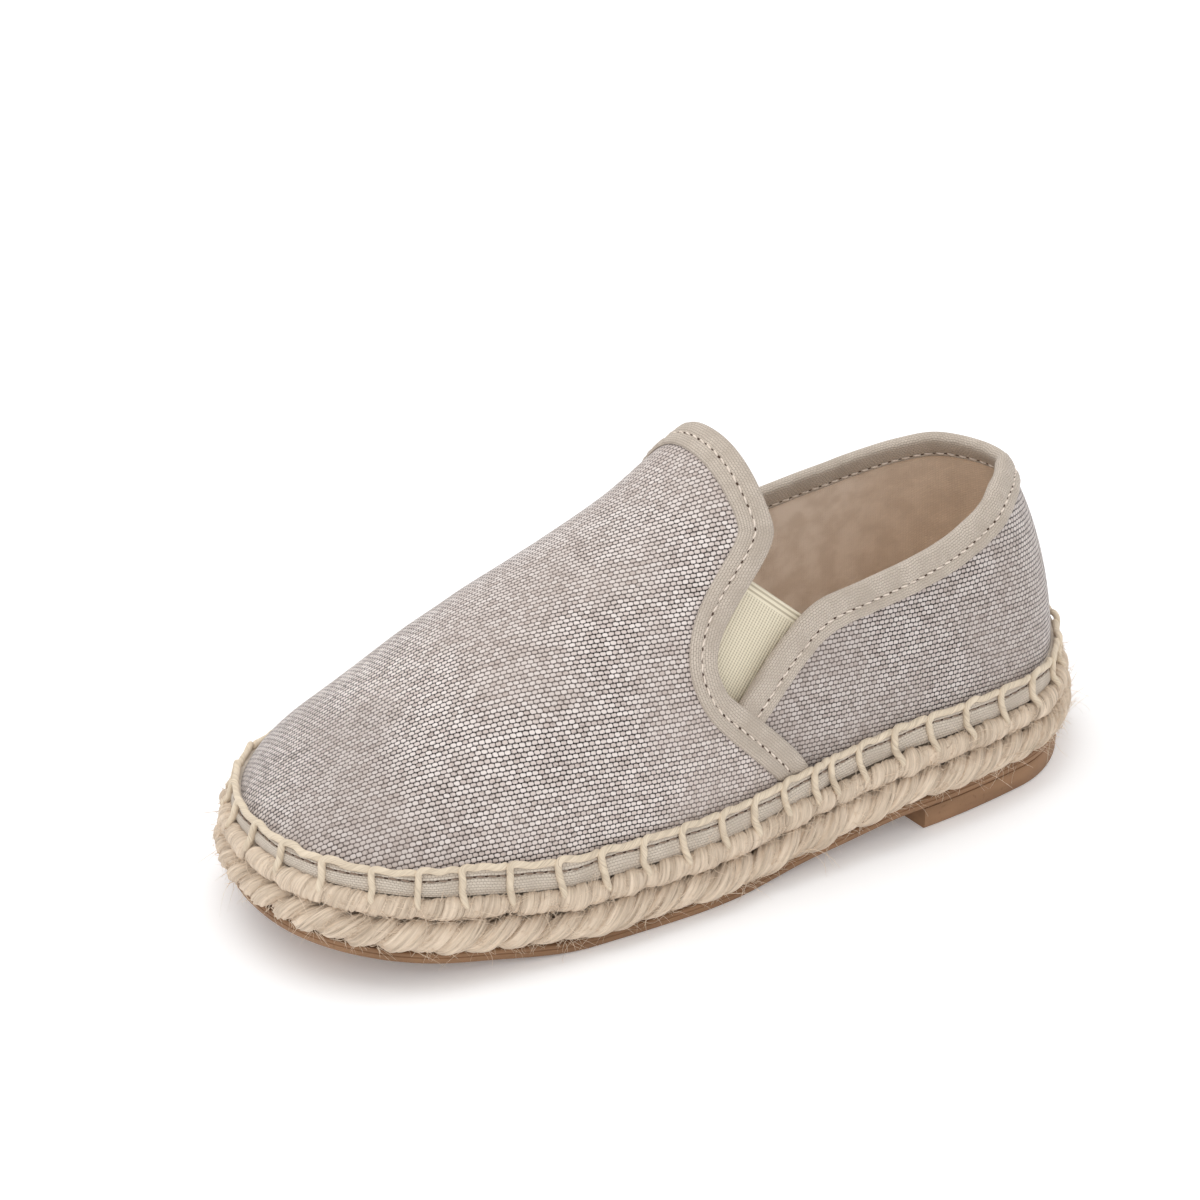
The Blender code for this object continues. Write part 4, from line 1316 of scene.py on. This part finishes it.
class ESPADRILLE_OT_elastic(bpy.types.Operator):
    """Sets the ribbed elastic behind the gap on each side"""

    bl_idname = "espadrille.elastic"
    bl_label = "Elastic insets"
    rows = 40
    columns = 60

    def execute(self, context):
        share = np.linspace(0.02, 1.0, self.rows)
        notch = notch_theta()
        low_phi = float(quarter_edge(notch))
        vamp_phi = low_phi + (rise_to_phi(GORE_VAMP_RISE) - low_phi) * share
        quarter_theta = notch + (theta_of(GORE_QUARTER_STATION) - notch) * share
        depth = -(LAP + WALL + TAPE + 4 * GAP)
        finishes = [finish_named("ribbed_elastic")]
        for name, side, node in (("elastic_outer", 1, "gore_lateral"), ("elastic_inner", -1, "gore_medial")):
            front = skin(side * vamp_edge(vamp_phi), vamp_phi, depth)
            rear = skin(side * quarter_theta, quarter_edge(quarter_theta), depth)
            across = front - rear
            more = GORE_MARGIN / np.linalg.norm(across, axis=1, keepdims=True)
            columns = np.linspace(0, 1, self.columns)[None, :, None]
            points = (rear - across * more)[:, None] + (across * (1 + 2 * more))[:, None] * columns
            normal = np.cross(np.gradient(points, axis=1), np.gradient(points, axis=0))
            normal *= -side / np.linalg.norm(normal, axis=2, keepdims=True)
            top = unit(points[-1, -1] - points[-1, 0])
            down = np.cross(top, normal.mean(axis=(0, 1)))
            down *= np.sign(down @ (points[0, 0] - points[-1, 0])) / np.linalg.norm(down)
            from_top = points - points[-1, 0]
            cloth = np.stack([from_top @ top, from_top @ down, np.zeros(points.shape[:2])], -1) * MILLIMETRES
            points, cloth = points[:, ::side], cloth[:, ::side]
            add_sheet(name, points, cloth, finishes, GORE, node=node, slot="elastic", sharp=60)
        return {"FINISHED"}


def foxing_level(theta):
    foot = VAMP_EDGE["station"][0]
    s = station(theta)
    return quarter_out(s) * ease((foot - s) / FOXING_STEP)


def foxing_place(theta, height, out):
    """A point at a height over the foxing's lower edge, that far out from the cloth."""
    s = station(theta)
    rise = height / (spine(s)[..., 2] - feather(s))
    phi = rise_to_phi(np.maximum(rise, 0))
    return skin(theta, phi, foxing_level(theta) + out)


class ESPADRILLE_OT_foxing(bpy.types.Operator):
    """Wraps the cotton foxing band round the upper's foot and sews its running seam"""

    bl_idname = "espadrille.foxing"
    bl_label = "Foxing band"
    steps = 520
    seam_height = 0.0036
    laid = 0.00005
    sway = 0.00016
    turns = (7, 17, 29)

    def execute(self, context):
        theta = evenly(self.steps + 1, 0, 2 * math.pi, outline)[:-1]
        top = GAP + FOXING
        h = FOXING_HEIGHT
        seam = self.seam_height
        section = [
            (0.0, self.laid), (-0.0003, top * 0.5), (0.0, top), (0.0010, top * 1.18), (0.0022, top * 1.2),
            (seam - 0.0006, top * 1.1), (seam - 0.0002, top * 0.9), (seam, top * 0.72),
            (seam + 0.0002, top * 0.9), (seam + 0.0006, top * 1.08), (h - 0.0004, top * 0.95),
            (h - 0.00005, top * 0.55), (h, self.laid),
        ]
        whole = lengths(foxing_place(theta, seam, top))
        turn = 2 * math.pi * whole / whole[-1]
        sway = sum(self.sway * np.sin(turns * turn + turns) for turns in self.turns)
        up_and_out = [(up + sway * min(up, h - up) / (h - seam), out) for up, out in section]
        sections = np.stack([foxing_place(theta, up, out) for up, out in up_and_out], 1)[:, ::-1]
        line = foxing_place(theta, seam + sway, top)
        far = lengths(line)
        heights = np.array([up for up, _ in section])[::-1]
        marks = np.stack(np.broadcast_arrays(far[:, None], heights[None], 0.0), -1).reshape(-1, 3)
        marks = {"cloth": marks * MILLIMETRES}
        finish = finish_named("foxing_cotton")
        ways = {"node": "foxing", "slot": "foxing_cotton", "sharp": 75}
        add_sweep("foxing_band", sections, marks, finish, closed=True, **ways)
        points = np.concatenate([line, line[:1]])
        normals = unit(points - foxing_place(np.append(theta, theta[0]), seam, 0.0))
        lines = [(points - normals * STITCH_LEAN, normals)]
        add_seam("foxing", lines, context.scene.espadrille_seams, 31, "dark_thread")
        return {"FINISHED"}


def bar_thetas(ways):
    """Thetas of all bars of the blanket stitch: those seen in the picture, and the rest evenly spaced."""
    fine = np.linspace(0, 2 * math.pi, 4000)
    far = lengths(foxing_place(fine, FOXING_HEIGHT, GAP + FOXING))
    seen = np.array(SEEN_BARS) * BAR_UNIT
    left = far[-1] + seen[0] - seen[-1]
    count = round(left / ways.pitch)
    rest = seen[-1] + left / count * np.arange(1, count)
    places = np.concatenate([seen, rest])
    return np.interp(places % far[-1], far, fine), far[-1], fine, far


class ESPADRILLE_OT_blanket_stitch(bpy.types.Operator):
    """Sews the upper to the jute with the corded blanket stitch: bars, and a run along the foxing"""

    bl_idname = "espadrille.blanket_stitch"
    bl_label = "Blanket stitch"
    steps = 46

    def execute(self, context):
        ways = context.scene.espadrille_seams
        random = np.random.default_rng(5)
        thetas, whole, fine, far = bar_thetas(ways)
        places = np.sort(np.interp(thetas, fine, far))
        r = ways.cord / 2
        face = GAP + FOXING + r * 0.85
        paths = []
        for k, place in enumerate(places):
            before = places[k - 1] - (whole if k == 0 else 0)
            reach = place - before
            wobble = random.normal(0, 0.00014, 8)
            spot = station(thetas[k])
            lean = ways.lean * (1.5 - 1.4 * spot + 0.3 * random.normal())
            top = FOXING_HEIGHT + r * 0.55 + wobble[0] * 0.6
            spots = np.array([
                (-lean * 1.5, -0.0036, -0.0042),
                (-lean * 1.4, -0.0028, -0.0024),
                (-lean * 1.2, -0.0017, -0.0012),
                (-lean * 0.9 + wobble[1], -0.0004, -0.0010),
                (-lean * 0.6 + wobble[2], 0.0012, 0.0),
                (-lean * 0.25, 0.0030, 0.0),
                (wobble[3] * 0.4, top - 0.0011, 0.00008),
                (-r * 0.25, top - 0.0002, 0.0002),
                (-r * 1.5, top + 0.0003, 0.0001),
                (-0.22 * reach - r, top + 0.0001 + wobble[4], -0.0002),
                (-0.50 * reach, top - 0.0003 + wobble[5], -0.00035),
                (-0.78 * reach, top - 0.0002 + wobble[6], -0.0003),
                (-0.94 * reach, top - 0.00015, -0.0004),
                (-reach - 0.0002, top - 0.0004, -0.0008),
            ])
            at = np.interp((place + spots[:, 0]) % whole, far, fine)
            out = face + spots[:, 2]
            points = np.where(
                (spots[:, 1] < 0)[:, None],
                self.on_braid(at, spots[:, 1], spots[:, 2] + r * 0.6),
                foxing_place(at, np.maximum(spots[:, 1], 0), out),
            )
            paths.append(self.curve(points))
        paths = np.array(paths)
        outward = foxing_place(np.zeros(1), 0.002, 0.001)
        centre = np.array([LENGTH / 2, 0.0, outward[0, 2] + 0.004])
        ups = paths - centre
        ups[..., 0] *= 0.25
        ups[..., 2] = 0.25 * np.linalg.norm(ups[..., :2], axis=-1)
        radii = np.full(paths.shape[:2], r)
        radii[:, 0] *= 0.5
        radii[:, -1] *= 0.4
        radii[:, -2] *= 0.8
        radii = radii * (1 + 0.05 * random.normal(size=(len(paths), 1)))
        points, faces, marks = tubes(paths, ups, radii, 14, ply=0.08, twist=1100.0)
        finishes = [finish_named("waxed_cord")]
        add_piece("blanket_stitch", points, faces, finishes, marks={"fibre": marks}, slot="cotton_tape")
        return {"FINISHED"}

    def on_braid(self, theta, drop, out):
        """A point on the upper row of jute, that far under the foxing's lower edge."""
        s = station(theta)
        plan = outline(theta, UPPER_BRAID_INSET - 0.0001 - out)
        return np.concatenate([plan, (feather(s) + drop)[:, None]], 1)

    def curve(self, points):
        """A smooth path through the points, at even steps."""
        padded = np.concatenate([points[:1], points, points[-1:]])
        spans = []
        for i in range(len(points) - 1):
            t = np.linspace(0, 1, 8, endpoint=False)[:, None]
            a, b, c, d = padded[i : i + 4]
            bend = (2 * a - 5 * b + 4 * c - d) * t**2
            spans.append(0.5 * (2 * b + (c - a) * t + bend + (3 * b - a - 3 * c + d) * t**3))
        fine = np.concatenate(spans + [points[-1:]])
        far = lengths(fine)
        return along_path(np.linspace(0, far[-1], self.steps), far, fine)


class JuteRow:
    """One twisted row wound round the sole: helical strands on a rope that follows the outline."""

    bar_reach = 0.0016
    lobes = ((5, 0.035), (8, 0.045), (11, 0.05), (13, 0.045))

    def __init__(self, foot, height, inset, pitch, lean, plump, seed):
        self.fine = np.linspace(0, 2 * math.pi, 3000)
        self.radius = height / 2
        self.far = lengths(outline(self.fine, inset + self.radius * 0.4))
        self.foot = foot
        self.height = height
        self.inset = inset
        self.count = round(self.far[-1] / pitch)
        self.pitch = self.far[-1] / self.count
        self.lean = lean
        self.plump = plump
        self.random = np.random.default_rng(seed)

    def pressed(self, along):
        """How far the bars of the blanket stitch press the row in."""
        whole = self.far[-1]
        gap = np.abs((along[..., None] - self.bars + whole / 2) % whole - whole / 2).min(axis=-1)
        return self.press * np.exp(-((gap / self.bar_reach) ** 2))

    def place(self, along, angle, out=0.0):
        """A point on the rope: along the outline, and round the rope from its foot (-90 degrees) to its top
        (90 degrees)."""
        theta = np.interp(along % self.far[-1], self.far, self.fine)
        reach = self.radius + out
        plan = outline(theta, self.inset + self.radius - reach * np.cos(angle))
        z = self.foot(station(theta)) + self.height / 2 - self.sink + reach * np.sin(angle)
        return np.concatenate([plan, z[..., None]], -1)

    def strands(self, steps, sides):
        """Points, faces and marks of all strands, each a flattened bundle with its fibres in relief."""
        n = self.count
        random = self.random
        share = np.linspace(0, 1, steps)
        angle = np.radians(-118 + 236 * share)[None] * (1 + 0.03 * random.normal(size=(n, 1)))
        start = self.pitch * (np.arange(n) + self.uneven * random.normal(size=n))[:, None]
        bend = 0.5 - 0.5 * np.cos(math.pi * share)
        lean = self.lean * (0.75 * share + 0.25 * bend - 0.5)[None]
        along = start - lean * (1 + 0.08 * random.normal(size=(n, 1)))
        deep = self.plump * 0.55
        lift = 0.00012 * random.normal(size=(n, 1)) - deep * 0.9 - self.pressed(start)
        paths = self.place(along, angle, lift)
        ups = self.place(along, angle, lift + STEP_OUT) - paths
        taper = np.sin(math.pi * np.clip(share * 0.92 + 0.04, 0, 1)) ** 0.55
        wide = self.wide * (1 + 0.10 * random.normal(size=(n, 1))) * taper[None]
        run = unit(np.gradient(paths, axis=1))
        side = unit(np.cross(run, unit(ups)))
        ups = np.cross(side, run)
        turn = np.arange(sides) / sides * 2 * math.pi
        relief = np.zeros((n, steps, sides))
        for lobes, deepness in self.lobes:
            phase = random.uniform(0, 2 * math.pi, (n, 1, 1))
            drift = random.normal(0, 1.4, (n, 1, 1)) * share[None, :, None]
            relief += deepness * np.cos(lobes * turn[None, None] + phase + drift * 2)
        ring = 1 + relief
        depth = deep * (1 + 0.12 * random.normal(size=(n, 1))) * taper[None]
        points = (
            paths[:, :, None]
            + side[:, :, None] * (wide[..., None] * np.cos(turn) * ring)[..., None]
            + ups[:, :, None] * (depth[..., None] * np.sin(turn) * ring)[..., None]
        )
        far = step_lengths(paths, 1)
        own = np.arange(n)[:, None, None] * (STRANDS_APART / MILLIMETRES) + self.inset
        marks = np.stack(np.broadcast_arrays(far[..., None], self.wide * turn[None, None], own), -1)
        return points.reshape(-1, 3), tube_faces(n, steps, sides), marks.reshape(-1, 3) * MILLIMETRES


def jute_rows(ways, seams):
    height = LOWER_BRAID + 0.0009
    lower = JuteRow(lower_braid_foot, height, -0.0003, ways.lower_pitch, 0.0125, 0.0042, 21)
    lower.wide = 0.56 * ways.lower_pitch * 0.66
    height = UPPER_BRAID + 0.0010
    inset = UPPER_BRAID_INSET - 0.0005
    upper = JuteRow(upper_braid_foot, height, inset, ways.upper_pitch, 0.0034, 0.0025, 22)
    upper.wide = 0.92 * ways.upper_pitch
    thetas = bar_thetas(seams)[0]
    for row, press, sink, uneven in ((lower, 0.0, 0.0002, 0.09), (upper, 0.0006, 0.0003, 0.11)):
        row.sink = sink
        row.bars = np.interp(thetas % (2 * math.pi), row.fine, row.far)
        row.press = press
        row.uneven = uneven
    return lower, upper


class ESPADRILLE_OT_jute(bpy.types.Operator):
    """Winds the two rows of twisted jute round the sole's coiled core"""

    bl_idname = "espadrille.jute"
    bl_label = "Jute rows"
    half_steps = 130
    coils = 3

    def add_core(self):
        """The core under the footbed: flat coils of jute, each rounded at its side."""
        theta = even_ring(self.half_steps)[1]
        s = station(theta)
        floor = lower_braid_foot(s)
        room = feather(s) - GAP - floor
        shares = np.linspace(0, 1, 8 * self.coils + 1)
        bulge = CORE_ROUNDING * (1 - np.abs(np.sin(math.pi * self.coils * shares)))
        levels = zip(CORE_INSET + bulge, [floor + room * share for share in shares])
        loops = [level_loop(theta, inset, height) for inset, height in levels]
        far = lengths(loops[0])
        coil = STRANDS_APART * (shares * self.coils // 1)
        marks = np.stack([np.broadcast_arrays(far, share * room, own) for share, own in zip(shares, coil)])
        marks = np.moveaxis(marks, 1, 2).reshape(-1, 3) * MILLIMETRES
        marks = {"fibre": marks}
        add_plate("jute_core", loops, "jute_core", node="jute_sole", slot="jute", marks=marks, sharp=60)

    def execute(self, context):
        self.add_core()
        lower, upper = jute_rows(context.scene.espadrille_jute, context.scene.espadrille_seams)
        finishes = [finish_named("jute")]
        for name, row, steps, sides, node in (
            ("jute_lower_row", lower, 26, 40, "braid_lower"),
            ("jute_upper_row", upper, 18, 32, "braid_upper"),
        ):
            points, faces, marks = row.strands(steps, sides)
            add_piece(name, points, faces, finishes, node=node, slot="jute", marks={"fibre": marks})
        return {"FINISHED"}


class ESPADRILLE_OT_hairs(bpy.types.Operator):
    """Lets loose fibres stand out of the jute, a few of them long, and short frizz curl over it"""

    bl_idname = "espadrille.hairs"
    bl_label = "Loose fibres"
    longest = 0.0085
    lowest = 0.0004

    def execute(self, context):
        ways = context.scene.espadrille_jute
        self.grow("jute_loose_fibres", ways.hairs, ways.hair_length, 0.000055, 7, 1.0, (0.55, 0.45), 77)
        self.grow("jute_frizz", ways.frizz, ways.hair_length * 0.75, 0.00008, 5, 2.4, (0.35, 0.65), 78)
        return {"FINISHED"}

    def grow(self, name, count, common, radius, steps, curl, shares, seed):
        """Fibres from random places of the two rows. shares says how many of them each row gets."""
        ways = bpy.context.scene.espadrille_jute
        random = np.random.default_rng(seed)
        all_paths = []
        for row, share in zip(jute_rows(ways, bpy.context.scene.espadrille_seams), shares):
            many = int(count * share)
            along = random.uniform(0, row.far[-1], many)
            angle = np.radians(random.uniform(-70, 70, many))
            root = row.place(along, angle, -0.0003)
            outward = unit(row.place(along, angle, STEP_OUT) - root)
            run = unit(row.place(along - 0.003, angle + 0.5) - row.place(along + 0.003, angle - 0.5))
            run *= np.where(random.uniform(size=many) < 0.72, 1, -1)[:, None]
            heading = run + outward * random.uniform(0.12, 0.75, many)[:, None]
            heading = unit(heading + 0.25 * random.normal(size=(many, 3)))
            length = common * random.lognormal(-0.15, 0.55, many)
            length = np.minimum(np.where(random.uniform(size=many) < 0.04, length * 2, length), self.longest)
            bend = 0.55 * curl * random.normal(size=(many, 3)) - np.array([0.0, 0.0, 0.25])
            bend = bend - outward * (curl - 1)
            path = [root]
            for _ in range(steps - 1):
                heading = unit(heading + bend / (steps - 1) * 1.6 + 0.06 * random.normal(size=(many, 3)))
                path.append(path[-1] + heading * (length / (steps - 1))[:, None])
            path = np.stack(path, 1)
            path[..., 2] = np.maximum(path[..., 2], self.lowest)
            all_paths.append(path)
        paths = np.concatenate(all_paths)
        taper = np.linspace(1.0, 0.35, steps)
        radii = radius * random.uniform(0.6, 1.25, len(paths))[:, None] * taper[None]
        ups = np.broadcast_to(np.array([0.13, 0.21, 0.97]), paths.shape)
        points, faces, marks = tubes(paths, ups, radii, 3)
        add_piece(name, points, faces, [finish_named("jute_hair")], slot="jute", marks={"fibre": marks})


def level_loop(theta, inset, height):
    return np.concatenate([outline(theta, inset), height[:, None]], 1)


def even_ring(half_steps):
    """Thetas evenly round the outline, the same on both sides: the outer side's, and all of them."""
    half = evenly(half_steps + 1, 0, math.pi, lambda t: np.concatenate([outline(t), outline(-t)], -1))
    return half, np.concatenate([half, -half[-2:0:-1]])


def plate_faces(levels, count):
    """Faces of a closed plate from loops of one outline, bottom to top, its ends in strips across it."""
    faces = [tuple(face[::-1]) for face in quads(levels, count, wrap=True)]
    top = (levels - 1) * count
    for k in range(count // 2):
        strip = list(dict.fromkeys([k, k + 1, count - k - 1, (count - k) % count]))
        faces.append(tuple(strip))
        faces.append(tuple(top + corner for corner in reversed(strip)))
    return faces


def add_plate(name, loops, finish, **ways):
    faces = plate_faces(len(loops), len(loops[0]))
    add_piece(name, np.concatenate(loops), faces, [finish_named(finish)], **ways)


class ESPADRILLE_OT_rubber(bpy.types.Operator):
    """Moulds the thin rubber sole and the heel lift"""

    bl_idname = "espadrille.rubber"
    bl_label = "Rubber sole"
    half_steps = 150
    line = 0.0002

    def execute(self, context):
        bevel = context.scene.espadrille_rubber.bevel
        half, theta = even_ring(self.half_steps)
        floor = underside(station(theta))
        rounded = [(bevel, 0.0), (bevel * 0.4, bevel * 0.2), (0.0, bevel)]
        levels = [
            *rounded, (0.0, RUBBER * 0.55), (self.line, RUBBER * 0.62), (0.0, RUBBER * 0.69),
            (0.0, RUBBER - 0.0003), (0.0003, RUBBER),
        ]
        loops = [level_loop(theta, RUBBER_INSET + inset, floor + up) for inset, up in levels]
        add_plate("rubber_sole", loops, "crepe_rubber", node="outsole", slot="rubber", sharp=50)
        reach = theta_of(BREAST)
        half = half[half < reach - 0.01]
        half = np.append(half, reach)
        theta = np.concatenate([half, -half[:0:-1]])
        flat = np.ones(len(theta))
        lift = HEEL_LIFT - 0.0001
        levels = [*rounded, (0.0, lift - 0.0003), (0.00025, lift)]
        loops = [level_loop(theta, RUBBER_INSET + inset, up * flat) for inset, up in levels]
        count = len(theta)
        faces = [tuple(face[::-1]) for face in quads(len(loops), count, wrap=True)]
        faces += [tuple(range(count)), tuple((len(loops) - 1) * count + k for k in reversed(range(count)))]
        ways = {"node": "heel_lift", "slot": "rubber", "sharp": 50}
        add_piece("rubber_heel_lift", np.concatenate(loops), faces, [finish_named("crepe_rubber")], **ways)
        return {"FINISHED"}


class ESPADRILLE_OT_footbed(bpy.types.Operator):
    """Lays the cloth-covered footbed inside"""

    bl_idname = "espadrille.footbed"
    bl_label = "Footbed"
    half_steps = 120

    def execute(self, context):
        theta = even_ring(self.half_steps)[1]
        floor = feather(station(theta))
        inset = UPPER_INSET + LAP + WALL + GAP
        levels = [(0.0, 0.0), (0.0, INSOLE * 0.6), (0.0004, INSOLE * 0.9), (0.0012, INSOLE)]
        loops = [level_loop(theta, inset + further, floor + up) for further, up in levels]
        marks = {"cloth": np.concatenate(loops) * MILLIMETRES}
        add_plate("footbed", loops, "footbed_cloth", node="insole", slot="lining", marks=marks, sharp=60)
        return {"FINISHED"}


class ESPADRILLE_OT_stage(bpy.types.Operator):
    """Sets the pale floor, the soft lights and the camera"""

    bl_idname = "espadrille.stage"
    bl_label = "Stage"
    focal_pixels = 3926.4
    frame_pixels = 1200
    film = 36.0
    look_at = (0.095, 0.0, 0.030)
    shift = (66.02, 74.59)
    backdrop = 1.05
    lights_aim = (0.0, 0.0, 0.03)

    def execute(self, context):
        ways = context.scene.espadrille_stage
        scene = context.scene
        scene.view_settings.view_transform = "Standard"
        bpy.ops.mesh.primitive_plane_add(size=12.0, location=(0.0, 0.0, -0.00005))
        floor = context.active_object
        floor.name = "floor"
        made, tree, shader = new_finish("floor_white", 0.9, 0.0, 0.1)
        shader.inputs["Base Color"].default_value = (*shade(250, 250, 251), 1.0)
        shader.inputs["Emission Color"].default_value = (1.0, 1.0, 1.0, 1.0)
        shader.inputs["Emission Strength"].default_value = ways.floor_glow
        floor.data.materials.append(made)
        world = bpy.data.worlds.new("studio")
        world.use_nodes = True
        tree = world.node_tree
        background = tree.nodes["Background"].inputs
        background["Color"].default_value = (1.0, 1.0, 1.0, 1.0)
        seen = put(tree, "ShaderNodeLightPath").outputs["Is Camera Ray"]
        tree.links.new(spread(tree, seen, 0.0, 1.0, ways.sky, self.backdrop), background["Strength"])
        scene.world = world
        for name, place, size, power in (
            ("key", (0.25, -0.35, 1.15), 1.1, ways.key),
            ("fill", (0.60, 0.80, 0.50), 0.9, ways.key * 0.38),
            ("back", (-0.75, -0.2, 0.8), 0.8, ways.key * 0.3),
        ):
            light = bpy.data.lights.new(name, "AREA")
            light.energy = power
            light.size = size
            holder = bpy.data.objects.new(name, light)
            holder.location = place
            aim = Vector(self.lights_aim) - Vector(place)
            holder.rotation_euler = aim.to_track_quat("-Z", "Y").to_euler()
            scene.collection.objects.link(holder)
        self.add_camera(scene, ways)
        return {"FINISHED"}

    def add_camera(self, scene, ways):
        a = ways.azimuth
        e = ways.elevation
        back = Vector((math.sin(a) * math.cos(e), -math.cos(a) * math.cos(e), math.sin(e)))
        right = Vector((math.cos(a), math.sin(a), 0.0))
        up = back.cross(right)
        c = math.cos(ways.roll)
        s = math.sin(ways.roll)
        right, up = c * right + s * up, -s * right + c * up
        camera = bpy.data.cameras.new("camera")
        camera.sensor_width = self.film
        camera.lens = self.focal_pixels * self.film / self.frame_pixels
        camera.shift_x = -self.shift[0] / self.frame_pixels
        camera.shift_y = self.shift[1] / self.frame_pixels
        holder = bpy.data.objects.new("camera", camera)
        place = Vector(self.look_at) - Vector(ORIGIN) + back * ways.distance
        holder.matrix_world = Matrix.Translation(place) @ Matrix((right, up, back)).transposed().to_4x4()
        scene.collection.objects.link(holder)
        scene.camera = holder


PROPERTY_GROUPS = {
    "espadrille_cloth": ClothWays,
    "espadrille_seams": SeamWays,
    "espadrille_jute": JuteWays,
    "espadrille_rubber": RubberWays,
    "espadrille_stage": StageWays,
}
OPERATORS = (
    ESPADRILLE_OT_finishes,
    ESPADRILLE_OT_upper,
    ESPADRILLE_OT_tapes,
    ESPADRILLE_OT_tape_seams,
    ESPADRILLE_OT_elastic,
    ESPADRILLE_OT_foxing,
    ESPADRILLE_OT_blanket_stitch,
    ESPADRILLE_OT_jute,
    ESPADRILLE_OT_hairs,
    ESPADRILLE_OT_rubber,
    ESPADRILLE_OT_footbed,
    ESPADRILLE_OT_stage,
)


class ESPADRILLE_PT_panel(bpy.types.Panel):
    """Lists the espadrille's sizes, colours and pieces"""

    bl_idname = "ESPADRILLE_PT_panel"
    bl_label = "Espadrille"
    bl_space_type = "VIEW_3D"
    bl_region_type = "UI"
    bl_category = "Espadrille"

    def draw(self, context):
        for key, group in PROPERTY_GROUPS.items():
            box = self.layout.box()
            box.label(text=group.__doc__)
            for title in group.__annotations__:
                box.prop(getattr(context.scene, key), title)
        for operator in OPERATORS:
            self.layout.operator(operator.bl_idname)


def register():
    for kind in (*PROPERTY_GROUPS.values(), *OPERATORS, ESPADRILLE_PT_panel):
        bpy.utils.register_class(kind)
    for key, group in PROPERTY_GROUPS.items():
        setattr(bpy.types.Scene, key, PointerProperty(type=group))


def unregister():
    for key in PROPERTY_GROUPS:
        delattr(bpy.types.Scene, key)
    for kind in (ESPADRILLE_PT_panel, *reversed(OPERATORS), *reversed(PROPERTY_GROUPS.values())):
        bpy.utils.unregister_class(kind)


def main():
    register()
    for operator in OPERATORS:
        category, name = operator.bl_idname.split(".")
        getattr(getattr(bpy.ops, category), name)()


if __name__ == "__main__":
    main()
